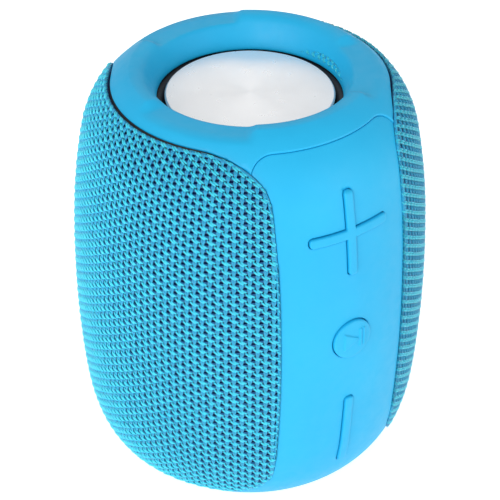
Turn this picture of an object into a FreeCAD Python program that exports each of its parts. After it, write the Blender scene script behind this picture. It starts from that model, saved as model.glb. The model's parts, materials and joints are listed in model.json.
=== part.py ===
import FreeCAD, Part
import math
import os

# Portable wireless speaker: a barrel that stands on one end, with a silicone ring round each
# end, cloth on its two flanks and a silicone strip down its front and its back.
# Origin: centre of the base. +Z up the barrel, -Y out of the front strip, +X to its right.
# Millimetres throughout.

Vector = FreeCAD.Vector

# ---- driving dimensions: the barrel's outline ---------------------------------------------
HEIGHT = 111.2            # base to the top ring's crest
BODY_RADIUS = 45.0        # widest, at the belly
BELLY_Z = 51.5            # height of the widest place
CREST_RADIUS = 29.6       # where the outside rolls over on to the crest's flat
CREST_FLAT = 1.4          # width of the flat that the barrel stands on
CREST_ROUND = 3.5         # rounding on both sides of the flat
UPPER_TURNS = (3.5, 11.5, 53.0)     # slope of the outline, degrees, where its arcs meet
UPPER_CORNER = 25.5       # shoulder's radius
LOWER_TURNS = (5.5, 16.3, 57.6)
LOWER_CORNER = 24.3
LIP_TURNS = (145.0, 170.0)          # the ring's inner wall goes on past the crest's 90
LIP_RADIUS = 15.0
WELL_FLOOR = 8.2          # depth below the crest at which both rings' lips end
CROWN_RADIUS = 28.75      # the top ring and the strips fall away sooner than the cloth: flat's edge,
CROWN_ROUND = 2.2         # its rounding, and the slopes where their own arcs meet
CROWN_TURNS = (41.0, 57.0)

# ---- driving dimensions: skins and gaps ---------------------------------------------------
CLOTH = (0.0, 1.0)        # depths below the outline, outer and inner face of each layer
CAGE = (1.15, 2.95)
RING_SKIN = (0.0, 3.0)
STRIP_SKIN = (0.35, 3.0)
SHELL = (3.1, 5.3)
OUTLINE_LOW = -STRIP_SKIN[0]        # so that the base, which is strip skin, ends at Z 0
SEAM = 0.25               # groove between two skins
STRIP_HALF = 18.25        # half the strip's width
STRIP_TOP_HALF = 21.7     # at the top it spreads over the panels' corners
SEAM_TOP_Z = 107.4        # where cloth and strip end under the top ring
PANEL_LOW_Z = 7.2         # where the cloth ends above the base
STRIP_CORNER = 7.5
PANEL_TOP_CORNER = 9.5
PANEL_LOW_CORNER = 10.0
DENT_DEPTH = 1.65         # three flats in each crest let air out from under an end
DENT_HALF_ANGLE = 28.5
DENT_CORNER = 2.6
STRIP_ANGLE = -90.0       # the front strip's direction, from +X

# ---- driving dimensions: keys -------------------------------------------------------------
PLAY_Z = 56.6
KEY_STEP = 30.0           # spacing of the three front keys
CROSS_LENGTH = 22.0       # volume-up key's two bars
BAR_LENGTH = 22.7         # volume-down key's bar
BAR_WIDTH = 2.4
BAR_CORNER = 0.9
ROUND_KEY = 5.4           # radius of the round keys
KEY_PROUD = 0.35          # how far a key stands out beyond the outline
KEY_GAP = 0.22            # clearance round a key
KEY_TRAVEL = 0.6
FLANGE_RIM = 0.9          # how far a key's hidden flange spreads beyond its cap
FLANGE_REST = 0.15        # clearance between the flange and the strip's inner face
FLANGE_THICK = 0.9
STEM_RADIUS = 1.1
STEM_GAP = 0.2            # left between the stem and its switch when the key is pressed
SWITCH_TOP = 37.4         # distance from the barrel's axis

# ---- driving dimensions: boards, ports and battery ----------------------------------------
DECK_Y = 34.0             # flat decks that carry the boards, under both strips
DECK_WALL = 2.0
DECK_HALF = 14.5
FRONT_DECK_Z = (12.5, 101.0)        # runs out through the barrel's top end
REAR_DECK_Z = (38.0, 98.0)
BUTTON_BOARD_Z = (13.3, 97.2)
MAIN_BOARD_Z = (38.8, 97.2)
BOARD_HALF = 13.6
BOARD_GAP = 0.2
BOARD_THICK = 1.2
PORT_FLAP_HALF = 13.5
PORT_FLAP_Z = (15.5, 31.0)
PORT_FLAP_CORNER = 4.0
FLAP_GAP = 0.3
FLAP_DEPTH = 2.3          # the flap's thickness
AUX_X, AUX_Z, AUX_FRONT = -7.5, 24.3, 39.0
AUX_BORE = 1.8
AUX_DEPTH = 13.0
USB_X, USB_Z, USB_FRONT = 4.6, 23.5, 39.4
CARD_Z, CARD_FRONT = 19.65, 39.4
PORT_BOARD_Z = (20.6, 21.75)
CELL_RADIUS = 9.2
CELL_Z = (21.0, 86.0)

# ---- driving dimensions: drivers and passive radiators ------------------------------------
DRIVER_Z = 54.0
PAD_FACE = 31.5           # distance of the driver's seat from the barrel's axis
PAD_BACK = 27.5
PAD_RADIUS = 26.2
DRIVER_BORE = 22.2
FLANGE_RADIUS = 25.0
DRIVER_SCREW_CIRCLE = 23.6
PLATE_RADIUS = 20.9       # metal disc that shows in each end
PLATE_DEPTH = 7.1         # below the crest
PLATE_THICK = 1.2
CORE_END = 10.8           # depth below the crest at which the inner barrel starts
CROWN_BORE = 25.6
CROWN_SCREW_CIRCLE = 30.0
CROWN_BOSS = 2.2
CROWN_SCREW_DEPTH = 8.2   # underside of the screws' heads, below the crest
CLAMP_RADIUS = 27.6       # outside of the surround and of the ring that clamps it
SCREW_ANGLES = (45.0, 135.0, 225.0, 315.0)

FAR = 70.0                # longer than any cut needs
BEHIND = 20.0             # where a cut through one side of the barrel starts

os.makedirs("parts", exist_ok=True)


# ---- plain helpers ------------------------------------------------------------------------
def line(a, b):
    return Part.LineSegment(Vector(*a), Vector(*b)).toShape()


def box(x0, x1, y0, y1, z0, z1):
    return Part.makeBox(x1 - x0, y1 - y0, z1 - z0, Vector(x0, y0, z0))


def cylinder(radius, start, end):
    """Round bar between two points."""
    start, end = Vector(*start), Vector(*end)
    return Part.makeCylinder(radius, (end - start).Length, start, end - start)


def fuse(shapes):
    whole = shapes[0]
    for shape in shapes[1:]:
        whole = whole.fuse(shape)
    return whole.removeSplitter()


def cut(shape, tools):
    for tool in tools:
        shape = shape.cut(tool)
    return shape


def ring(inner, outer, low, high):
    """Washer round the local Z axis."""
    bar = Part.makeCylinder(outer, high - low, Vector(0, 0, low))
    if inner > 0:
        bar = bar.cut(Part.makeCylinder(inner, high - low, Vector(0, 0, low)))
    return bar


def turned(points):
    """Closed outline of (radius, height) points, turned round the Z axis."""
    corners = [Vector(r, 0, z) for r, z in points]
    face = Part.Face(Part.makePolygon(corners + corners[:1]))
    return face.revolve(Vector(0, 0, 0), Vector(0, 0, 1), 360)


def rounded_box(x0, x1, y0, y1, z0, z1, corners):
    """Box whose edges along Y are rounded: corners maps an (x, z) corner to its radius."""
    solid = box(x0, x1, y0, y1, z0, z1)
    for (x, z), radius in corners.items():
        edges = [e for e in solid.Edges if all(math.hypot(v.X - x, v.Z - z) < 1e-6 for v in e.Vertexes)]
        solid = solid.makeFillet(radius, edges)
    return solid


def rounded_window(half, z0, z1, y0, y1, radius):
    corners = {(x, z): radius for x in (-half, half) for z in (z0, z1)}
    return rounded_box(-half, half, y0, y1, z0, z1, corners)


def upside_down(shape):
    """The same piece at the other end of the barrel."""
    return shape.mirror(Vector(0, 0, HEIGHT / 2), Vector(0, 0, 1))


def save(name, shape):
    shape.exportStep("parts/" + name + ".step")


# ---- the barrel's outline -----------------------------------------------------------------
def direction(degrees):
    angle = math.radians(degrees)
    return math.cos(angle), math.sin(angle)


def side_arcs(turns, corner, rise):
    """Arcs from the belly to the crest. The first two radii follow from the end point."""
    stops = [0.0] + list(turns) + [90.0]
    widths = [direction(b)[0] - direction(a)[0] for a, b in zip(stops, stops[1:])]
    rises = [direction(b)[1] - direction(a)[1] for a, b in zip(stops, stops[1:])]
    width_left = CREST_RADIUS - BODY_RADIUS - corner * widths[2] - CREST_ROUND * widths[3]
    rise_left = rise - corner * rises[2] - CREST_ROUND * rises[3]
    scale = widths[0] * rises[1] - widths[1] * rises[0]
    first = (width_left * rises[1] - widths[1] * rise_left) / scale
    second = (widths[0] * rise_left - width_left * rises[0]) / scale
    return [(r, a, b) for r, a, b in zip((first, second, corner, CREST_ROUND), stops, stops[1:])]


def crown_arcs(arcs):
    """The top ring's and strips' own arcs: they leave the outline at its second turn."""
    low, middle, high = arcs[1][2], *CROWN_TURNS
    spots = [direction(angle) for angle in (low, middle, high)]
    start = [sum(r * (direction(b)[i] - direction(a)[i]) for r, a, b in arcs[:2]) for i in (0, 1)]
    width = CROWN_RADIUS - BODY_RADIUS - start[0] + CROWN_ROUND * spots[2][0]
    rise = HEIGHT - BELLY_Z - start[1] - CROWN_ROUND * (1 - spots[2][1])
    (a, b), (c, d) = [(spots[1][i] - spots[0][i], spots[2][i] - spots[1][i]) for i in (0, 1)]
    first, second = (width * d - b * rise) / (a * d - b * c), (a * rise - width * c) / (a * d - b * c)
    return arcs[:2] + [(first, low, middle), (second, middle, high), (CROWN_ROUND, high, 90.0)]


def half_outline(arcs, depth, sign, whole):
    """Edges of the outline from the belly to one end's well, depth inside the surface."""
    crest = HEIGHT if sign > 0 else OUTLINE_LOW
    centre_r, centre_h = BODY_RADIUS - arcs[0][0], 0.0
    edges, last_radius = [], arcs[0][0]
    path = list(arcs) if whole else list(arcs[:3])
    if whole:
        path += [("flat",), (CREST_ROUND, 90.0, LIP_TURNS[0]), (LIP_RADIUS,) + LIP_TURNS]
    for step in path:
        if step[0] == "flat":
            last, inner = end, CREST_RADIUS - CREST_FLAT
            centre_r -= end[0] - inner
            end = (inner, 0, end[2])
            edges.append(line(last, end))
            continue
        radius, start_angle, end_angle = step
        turn_r, turn_h = direction(start_angle)
        centre_r += (last_radius - radius) * turn_r
        centre_h += (last_radius - radius) * turn_h
        last_radius = radius
        spots = []
        for angle in (start_angle, (start_angle + end_angle) / 2, end_angle):
            out_r, out_h = direction(angle)
            height = centre_h + (radius - depth) * out_h
            spots.append((centre_r + (radius - depth) * out_r, 0, BELLY_Z + sign * height))
        edges.append(Part.Arc(*[Vector(*spot) for spot in spots]).toShape())
        end = spots[2]
    floor = crest - sign * WELL_FLOOR if whole else end[2]
    if whole:
        edges.append(line(end, (end[0], 0, floor)))
    edges.append(line((end[0], 0, floor), (0, 0, floor)))
    return edges, floor


def barrel_solid(depth, whole=True, crown=False):
    """Solid of revolution, depth inside the outline. Without whole it stops at the corners."""
    upper, top = half_outline(CROWN if crown else UPPER, depth, 1, whole)
    lower, bottom = half_outline(LOWER, depth, -1, whole)
    wire = Part.Wire(Part.__sortEdges__(upper + lower + [line((0, 0, bottom), (0, 0, top))]))
    return Part.Face(wire).revolve(Vector(0, 0, 0), Vector(0, 0, 1), 360)


def skin(depths, whole=True, crown=False):
    """Layer between two depths below the outline, open at both wells if it is whole."""
    return barrel_solid(depths[0], whole, crown).cut(barrel_solid(depths[1], whole))


UPPER = side_arcs(UPPER_TURNS, UPPER_CORNER, HEIGHT - BELLY_Z)
LOWER = side_arcs(LOWER_TURNS, LOWER_CORNER, BELLY_Z - OUTLINE_LOW)
CROWN = crown_arcs(UPPER)


# ---- outlines of the skins, seen from the front -------------------------------------------
def panel_outline(side, grow):
    """Block that holds everything under one cloth panel: side is -1 for left, 1 for right."""
    near = side * (STRIP_HALF + SEAM - grow)
    low, high = PANEL_LOW_Z - grow, SEAM_TOP_Z + grow
    corners = {(near, high): PANEL_TOP_CORNER + grow, (near, low): PANEL_LOW_CORNER + grow}
    return rounded_box(min(near, side * FAR), max(near, side * FAR), -FAR, FAR, low, high, corners)


def strip_outline(grow):
    """Block over both strips, as wide as their tops. Lower down the panels are cut out of it."""
    half, high = STRIP_TOP_HALF + grow, SEAM_TOP_Z + grow
    corners = {(x, high): STRIP_CORNER + grow for x in (-half, half)}
    return rounded_box(-half, half, -FAR, FAR, -FAR, high, corners)


def dent_cutters():
    """Three blocks that leave flats in the top crest, with rounded ends."""
    low, high = HEIGHT - DENT_DEPTH, HEIGHT + 5
    inner, outer = CREST_RADIUS - 8.0, CREST_RADIUS + 4.2
    cutters = []
    for step in (60.0, 180.0, 300.0):
        face = Part.Face(Part.makePolygon([
            Vector(inner, 0, low), Vector(outer, 0, low), Vector(outer, 0, high),
            Vector(inner, 0, high), Vector(inner, 0, low)]))
        block = face.revolve(Vector(0, 0, 0), Vector(0, 0, 1), 2 * DENT_HALF_ANGLE)
        upright = [e for e in block.Edges if abs(e.Vertexes[0].Z - e.Vertexes[-1].Z) > 1]
        block = block.makeFillet(DENT_CORNER, upright)
        block.rotate(Vector(0, 0, 0), Vector(0, 0, 1), STRIP_ANGLE + step - DENT_HALF_ANGLE)
        cutters.append(block)
    return cutters


# ---- keys ---------------------------------------------------------------------------------
def bar_outline(length, width, upright, z, grow, y0, y1):
    """Straight bar with rounded ends, standing or lying, centred on the strip."""
    half, tall = (width, length) if upright else (length, width)
    half, tall = half / 2 + grow, tall / 2 + grow
    return rounded_window(half, z - tall, z + tall, y0, y1, BAR_CORNER + grow)


def round_outline(z, grow, y0, y1):
    return cylinder(ROUND_KEY + grow, (0, y0, z), (0, y1, z))


def cross_outline(z, grow, y0, y1):
    bars = [bar_outline(CROSS_LENGTH, BAR_WIDTH, upright, z, grow, y0, y1) for upright in (True, False)]
    return fuse(bars)


def minus_outline(z, grow, y0, y1):
    return bar_outline(BAR_LENGTH, BAR_WIDTH, True, z, grow, y0, y1)


KEYS = {
    "volume_up_key": (cross_outline, PLAY_Z + KEY_STEP, -1),
    "play_pause_key": (round_outline, PLAY_Z, -1),
    "volume_down_key": (minus_outline, PLAY_Z - KEY_STEP, -1),
    "power_key": (round_outline, PLAY_Z + KEY_STEP, 1),
    "pairing_key": (round_outline, PLAY_Z, 1),
}
LIGHT_Z = PLAY_Z + KEY_STEP / 2
LIGHT_RADIUS = 1.0
MICROPHONE_Z = LIGHT_Z - 5.5
MICROPHONE_HOLE = 0.5


def key_block(name, grow):
    """A key's outline as a block through its own strip. side is -1 at the front."""
    outline, z, side = KEYS[name]
    y0, y1 = (-FAR, -BEHIND) if side < 0 else (BEHIND, FAR)
    return outline(z, grow, y0, y1)


def key_solid(name):
    """Cap through the strip, flange behind it and stem towards its switch."""
    z, side = KEYS[name][1], KEYS[name][2]
    flange_top = STRIP_SKIN[1] + FLANGE_REST
    flange_low = flange_top + FLANGE_THICK
    cap = barrel_solid(-KEY_PROUD, False).cut(barrel_solid(flange_low, False))
    flange = barrel_solid(flange_top, False).cut(barrel_solid(flange_low, False))
    cap = cap.common(key_block(name, 0))
    flange = flange.common(key_block(name, FLANGE_RIM))
    stem_end = SWITCH_TOP + KEY_TRAVEL + STEM_GAP
    stem = cylinder(STEM_RADIUS, (0, side * stem_end, z), (0, side * FAR, z))
    stem = stem.common(barrel_solid(flange_top + FLANGE_THICK / 2, False))
    return fuse([cap, flange, stem])


# ---- outer skins --------------------------------------------------------------------------
def make_skins():
    # The outlines are cut through the outer wall alone, and leave both wells' walls whole.
    core = cylinder(CREST_RADIUS + 1, (0, 0, -FAR), (0, 0, HEIGHT + FAR))
    panels = [panel_outline(side, SEAM).cut(core) for side in (-1, 1)]
    upper = box(-FAR, FAR, -FAR, FAR, SEAM_TOP_Z - 16.0, HEIGHT + 1)
    outside_ring = panels + [strip_outline(SEAM).cut(core)] + dent_cutters()
    save("top_silicone_ring", cut(skin(RING_SKIN, crown=True).common(upper), outside_ring))

    inside_top = cylinder(CREST_RADIUS + 1, (0, 0, DRIVER_Z), (0, 0, HEIGHT + 1))
    base_skin = skin(STRIP_SKIN, crown=True).cut(inside_top)
    lower = box(-FAR, FAR, -FAR, FAR, -1, PANEL_LOW_Z + 14.0)
    strips_and_base = base_skin.common(strip_outline(0).fuse(lower))
    openings = [key_block(name, KEY_GAP) for name in KEYS]
    openings.append(cylinder(LIGHT_RADIUS + 0.15, (0, BEHIND, LIGHT_Z), (0, FAR, LIGHT_Z)))
    openings.append(cylinder(MICROPHONE_HOLE, (0, BEHIND, MICROPHONE_Z), (0, FAR, MICROPHONE_Z)))
    openings.append(flap_window(FLAP_GAP))
    openings += [upside_down(block) for block in dent_cutters()]
    save("silicone_base_and_strips", cut(strips_and_base, panels + openings))

    for side, name in ((-1, "left"), (1, "right")):
        save(name + "_cloth_panel", skin(CLOTH, False).common(panel_outline(side, 0)))
        save(name + "_grille_cage", grille_cage(side))


def flap_window(grow):
    low, high = PORT_FLAP_Z
    corner = PORT_FLAP_CORNER + grow
    return rounded_window(PORT_FLAP_HALF + grow, low - grow, high + grow, BEHIND, FAR, corner)


CAGE_INSET = 0.4
WINDOW_ROWS, WINDOW_COLUMNS = 7, 9
WINDOW_Z, WINDOW_ANGLES = (17.5, 93.5), (-52.0, 52.0)      # centres of the outermost windows
WINDOW_HALF = (3.1, 5.2)


def between(ends, index, count):
    return ends[0] + index * (ends[1] - ends[0]) / (count - 1)


def grille_cage(side):
    """Rigid perforated shell that the cloth is stretched over."""
    cage = skin(CAGE, False).common(panel_outline(side, -CAGE_INSET))
    half, tall = WINDOW_HALF
    for row in range(WINDOW_ROWS):
        z = between(WINDOW_Z, row, WINDOW_ROWS)
        for column in range(WINDOW_COLUMNS):
            angle = between(WINDOW_ANGLES, column, WINDOW_COLUMNS)
            window = box(BEHIND, FAR, -half, half, z - tall, z + tall)
            window.rotate(Vector(0, 0, 0), Vector(0, 0, 1), angle + (0 if side > 0 else 180))
            cage = cage.cut(window)
    return cage


# ---- inner barrel -------------------------------------------------------------------------
RIB_HALF = 1.2
BOSS_DEPTH = 10.0         # length of the crown screws' bosses
PILOT = {"driver": 0.9, "crown": 1.0, "board": 0.8}        # screw holes' radii
PORT_WINDOW = (12.3, 1.2, 3.0)         # half width, inset from the flap's ends, corner


def make_chamber():
    low, high = CORE_END, HEIGHT - CORE_END
    slab = box(-FAR, FAR, -FAR, FAR, low, high)
    outside = barrel_solid(SHELL[0], False).common(slab)
    cavity = barrel_solid(SHELL[1], False)
    deck_back, side_wall = DECK_Y - DECK_WALL, DECK_HALF + DECK_WALL
    keep = []
    for side, (z0, z1) in ((-1, FRONT_DECK_Z), (1, REAR_DECK_Z)):
        y0, y1 = sorted((side * deck_back, side * FAR))
        keep.append(box(-side_wall, side_wall, y0, y1, z0 - DECK_WALL, z1 + DECK_WALL))
    for side in (-1, 1):
        keep.append(cylinder(PAD_RADIUS, (side * PAD_BACK, 0, DRIVER_Z), (side * FAR, 0, DRIVER_Z)))
    for angle in SCREW_ANGLES:
        x, y = [CROWN_SCREW_CIRCLE * part for part in direction(angle)]
        for z0, z1 in ((high - BOSS_DEPTH, high + 1), (low - 1, low + BOSS_DEPTH)):
            rib = box(CROWN_SCREW_CIRCLE, FAR, -RIB_HALF, RIB_HALF, z0, z1)
            rib.rotate(Vector(0, 0, 0), Vector(0, 0, 1), angle)
            keep += [cylinder(CROWN_BOSS, (x, y, z0), (x, y, z1)), rib]
    chamber = outside.cut(cut(cavity, keep))

    tools = []
    for side, (z0, z1) in ((-1, FRONT_DECK_Z), (1, REAR_DECK_Z)):
        y0, y1 = sorted((side * DECK_Y, side * FAR))
        tools.append(box(-DECK_HALF, DECK_HALF, y0, y1, z0, z1))
    for side in (-1, 1):
        face, far = (side * PAD_FACE, 0, DRIVER_Z), (side * FAR, 0, DRIVER_Z)
        tools.append(cylinder(FLANGE_RADIUS + 0.4, face, far))
        tools.append(cylinder(DRIVER_BORE, (side * BEHIND, 0, DRIVER_Z), far))
        for dy, dz in driver_screw_spots():
            tools.append(cylinder(PILOT["driver"], (side * (PAD_BACK + 0.6), dy, DRIVER_Z + dz),
                                  (side * FAR, dy, DRIVER_Z + dz)))
    for angle in SCREW_ANGLES:
        x, y = [CROWN_SCREW_CIRCLE * part for part in direction(angle)]
        for z0, z1 in ((high - BOSS_DEPTH + 2, high + 1), (low - 1, low + BOSS_DEPTH - 2)):
            tools.append(cylinder(PILOT["crown"], (x, y, z0), (x, y, z1)))
    for side, x, z in board_screw_spots():
        tools.append(cylinder(PILOT["board"], (x, side * (DECK_Y - 1.5), z), (x, side * (DECK_Y + 1), z)))
    half, inset, corner = PORT_WINDOW
    port_low, port_high = PORT_FLAP_Z
    tools.append(rounded_window(half, port_low + inset, port_high - inset, 30, FAR, corner))
    save("chamber_barrel", cut(chamber, tools))


def driver_screw_spots():
    return [[DRIVER_SCREW_CIRCLE * part for part in direction(angle)] for angle in SCREW_ANGLES]


def board_screw_spots():
    """(side, x, z) of the small screws that hold the two long boards."""
    spots = [(-1, x, z) for x, z in ((-11, 20.0), (11, 42.0), (-11, 73.0), (11, 92.5))]
    return spots + [(1, x, z) for x, z in ((-11, 41.0), (11, 66.0), (-11, 92.5))]


# ---- ends: crown frame, passive radiator ---------------------------------------------------
CROWN_HEAD, CROWN_HEAD_THICK = 2.4, 1.5
CROWN_SHANK, CROWN_SHANK_HOLE = 0.95, 1.3
CARRIER_RADIUS = 19.0     # plastic disc between the metal disc and the rubber
WEIGHT_RADIUS, WEIGHT_THICK = 16.0, 3.4
GLUE = 0.02               # left between two pieces that are glued
PLATE_EDGE = 0.35         # chamfer on the metal disc's rim
CLAMP_BORE = 25.4
RADIATOR_FLANGE = (HEIGHT - 11.4, HEIGHT - 10.8)
ROLL_CENTRE, ROLL_RADIUS, ROLL_WALL = 22.9, 2.35, 0.6
RADIATOR_FLANGE_BORE = 14.0


def crown_frame(sign):
    """Rigid ring that fills the silicone ring and is screwed to the inner barrel."""
    top = HEIGHT if sign > 0 else 0.0
    end = top - sign * (CORE_END - 0.1)
    z0, z1 = sorted((end, top + sign))
    frame = barrel_solid(RING_SKIN[1] + 0.05).common(box(-FAR, FAR, -FAR, FAR, z0, z1))
    tools = [cylinder(CROWN_BORE, (0, 0, z0 - 1), (0, 0, z1 + 1))]
    head = top - sign * CROWN_SCREW_DEPTH
    for angle in SCREW_ANGLES:
        x, y = [CROWN_SCREW_CIRCLE * part for part in direction(angle)]
        tools.append(cylinder(CROWN_SHANK_HOLE, (x, y, end - sign), (x, y, top)))
        tools.append(cylinder(CROWN_HEAD + 0.3, (x, y, head), (x, y, top)))
    return cut(frame, tools)


def radiator_plate():
    """Visible metal disc with a chamfered rim."""
    top, low = HEIGHT - PLATE_DEPTH, HEIGHT - PLATE_DEPTH - PLATE_THICK
    edge = PLATE_EDGE
    return turned([(0, low), (PLATE_RADIUS - edge, low), (PLATE_RADIUS, low + edge),
                   (PLATE_RADIUS, top - edge), (PLATE_RADIUS - edge, top), (0, top)])


def roll(centre, radius, wall, base, inner_flange, outer_flange):
    """Rubber surround: half a roll between two flat flanges, turned round the Z axis."""
    def arc(r):
        return Part.Arc(Vector(centre - r, 0, base), Vector(centre, 0, base + r),
                        Vector(centre + r, 0, base)).toShape()
    low = base - wall
    edges = [line((inner_flange, 0, base), (centre - radius, 0, base)), arc(radius),
             line((centre + radius, 0, base), (outer_flange, 0, base)),
             line((outer_flange, 0, base), (outer_flange, 0, low)),
             line((outer_flange, 0, low), (centre + radius - wall, 0, low)),
             line((centre + radius - wall, 0, low), (centre + radius - wall, 0, base)), arc(radius - wall),
             line((centre - radius + wall, 0, base), (centre - radius + wall, 0, low)),
             line((centre - radius + wall, 0, low), (inner_flange, 0, low)),
             line((inner_flange, 0, low), (inner_flange, 0, base))]
    wire = Part.Wire(Part.__sortEdges__(edges))
    return Part.Face(wire).revolve(Vector(0, 0, 0), Vector(0, 0, 1), 360)


def crown_screws():
    """Four screws that hold the crown frame to the barrel."""
    head_low, shank_end = HEIGHT - CROWN_SCREW_DEPTH + 0.05, HEIGHT - CORE_END - 7.0
    screws = []
    for angle in SCREW_ANGLES:
        x, y = [CROWN_SCREW_CIRCLE * part for part in direction(angle)]
        head = cylinder(CROWN_HEAD, (x, y, head_low), (x, y, head_low + CROWN_HEAD_THICK))
        slot = box(x - 2.0, x + 2.0, y - 0.3, y + 0.3, head_low + 0.8, head_low + 2)
        shank = cylinder(CROWN_SHANK, (x, y, shank_end), (x, y, head_low))
        screws.append(head.cut(slot).fuse(shank))
    return Part.makeCompound(screws)


def make_ends():
    flange_low, flange_high = RADIATOR_FLANGE
    plate_low = HEIGHT - PLATE_DEPTH - PLATE_THICK
    carrier = ring(0, CARRIER_RADIUS, flange_high + GLUE, plate_low - GLUE)
    weight = ring(0, WEIGHT_RADIUS, flange_low - WEIGHT_THICK, flange_low - GLUE)
    surround = roll(ROLL_CENTRE, ROLL_RADIUS, ROLL_WALL, flange_high, RADIATOR_FLANGE_BORE, CLAMP_RADIUS)
    clamp = ring(CLAMP_BORE, CLAMP_RADIUS, flange_low - 2.0, flange_low - 0.05)
    pieces = {"passive_radiator_disc": radiator_plate(), "passive_radiator_carrier": carrier,
              "passive_radiator_weight": weight, "passive_radiator_surround": surround,
              "passive_radiator_clamp": clamp, "crown_screws": crown_screws()}
    for name, piece in pieces.items():
        save("top_" + name, piece)
        save("bottom_" + name, upside_down(piece))
    save("top_crown_frame", crown_frame(1))
    save("bottom_crown_frame", crown_frame(-1))


# ---- drivers, built along +Z from the barrel's axis, then turned to one flank --------------
FLANGE_FACE = PAD_FACE + 2.0
BASKET_MOUTH, BASKET_WALL, BASKET_SEAT = 20.9, 1.1, (8.4, 13.4, 20.9, 22.1)   # bell, then its floor
COIL = (6.6, 7.2, 16.6, 25.8)                  # rings: inner and outer radius, back, front
MAGNET = (8.6, 15.5, 14.67, 18.73)
TOP_PLATE = (7.7, 14.0, 18.75, 20.85)
YOKE_PLATE, YOKE_POLE = (0, 14.0, 12.7, 14.65), (0, 6.2, 14.65, 20.8)
CONE_NECK, CONE_RIM, CONE_WALL, CONE_BACK = 7.3, 17.3, 0.6, 25.4
CAP_RADIUS, CAP_RISE, CAP_WALL = 9.4, 2.6, 0.5
SPIDER_BACK, SPIDER_WAVE, SPIDER_WALL = 22.9, 0.8, 0.6
DRIVER_SURROUND = (19.3, 1.7, 0.5, FLANGE_FACE + 0.55, 15.9, 22.1)
DRIVER_HOLE, DRIVER_HEAD, DRIVER_SHANK = 1.1, 1.3, 0.85


def driver_holes():
    return [cylinder(DRIVER_HOLE, (x, y, 30), (x, y, 40)) for x, y in driver_screw_spots()]


def driver_basket():
    bore, shoulder, back, seat = BASKET_SEAT
    outside, seat_edge = BASKET_MOUTH + BASKET_WALL, shoulder + 1.2
    flange = ring(BASKET_MOUTH, FLANGE_RADIUS, PAD_FACE + 0.5, FLANGE_FACE)
    bell = turned([(BASKET_MOUTH, FLANGE_FACE), (BASKET_MOUTH, PAD_FACE + 0.5), (shoulder, seat),
                   (bore, seat), (bore, back), (seat_edge, back), (outside, PAD_FACE + 0.5),
                   (outside, FLANGE_FACE)])
    basket = flange.fuse(bell).removeSplitter()
    windows = []
    for angle in (0, 90, 180, 270):
        window = box(12.0, 30.0, -6.5, 6.5, 22.8, PAD_FACE - 0.6)
        window.rotate(Vector(0, 0, 0), Vector(0, 0, 1), angle)
        windows.append(window)
    return cut(basket, windows + driver_holes())


def driver_cone():
    """Paper cone with its dust cap, one glued piece."""
    rim = FLANGE_FACE - 0.05
    cone = turned([(CONE_NECK, CONE_BACK), (CONE_RIM, rim - CONE_WALL), (CONE_RIM, rim),
                   (CONE_NECK, CONE_BACK + CONE_WALL + 0.3)])
    slope = (rim - CONE_BACK) / (CONE_RIM - CONE_NECK)
    seat = CONE_BACK + (CAP_RADIUS - CONE_NECK) * slope + 0.3
    sphere = (CAP_RADIUS ** 2 + CAP_RISE ** 2) / (2 * CAP_RISE)
    centre = Vector(0, 0, seat + CAP_RISE - sphere)
    dome = Part.makeSphere(sphere, centre).cut(Part.makeSphere(sphere - CAP_WALL, centre))
    dome = dome.common(ring(0, CAP_RADIUS + 0.3, seat - 0.1, FLANGE_FACE + 3))
    return cone.fuse(dome).removeSplitter()


def driver_screws():
    screws = []
    for x, y in driver_screw_spots():
        head = cylinder(DRIVER_HEAD, (x, y, FLANGE_FACE + GLUE), (x, y, FLANGE_FACE + 1.0))
        shank = cylinder(DRIVER_SHANK, (x, y, PAD_BACK + 1.0), (x, y, FLANGE_FACE + GLUE))
        screws.append(head.fuse(shank))
    return Part.makeCompound(screws)


def driver_spider():
    """Corrugated cloth disc between the voice coil and the basket."""
    face, crest = SPIDER_BACK, SPIDER_BACK + SPIDER_WAVE
    front = [(7.25, face), (8.4, face), (9.4, crest), (10.4, face), (11.4, crest), (12.4, face), (13.3, face)]
    back = [(13.3, face), (12.1, face), (11.4, crest), (10.4, face), (9.4, crest), (8.7, face), (7.25, face)]
    return turned(front + [(r, height - SPIDER_WALL) for r, height in back])


def driver_pieces():
    gasket = ring(DRIVER_BORE + 0.1, FLANGE_RADIUS, PAD_FACE + GLUE, PAD_FACE + 0.5 - GLUE)
    yoke = ring(*YOKE_PLATE).fuse(ring(*YOKE_POLE)).removeSplitter()
    return {
        "driver_gasket": cut(gasket, driver_holes()),
        "driver_basket": driver_basket(),
        "driver_magnet": ring(*MAGNET),
        "driver_yoke": Part.makeCompound([yoke, ring(*TOP_PLATE)]),
        "driver_voice_coil": ring(*COIL),
        "driver_spider": driver_spider(),
        "driver_cone": driver_cone(),
        "driver_surround": roll(*DRIVER_SURROUND),
        "driver_screws": driver_screws(),
    }


def make_drivers():
    for side, flank in ((-1, "left"), (1, "right")):
        for name, piece in driver_pieces().items():
            placed = piece.copy()
            placed.rotate(Vector(0, 0, 0), Vector(0, 1, 0), side * 90)
            placed.translate(Vector(0, 0, DRIVER_Z))
            save(flank + "_" + name, placed)


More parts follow.
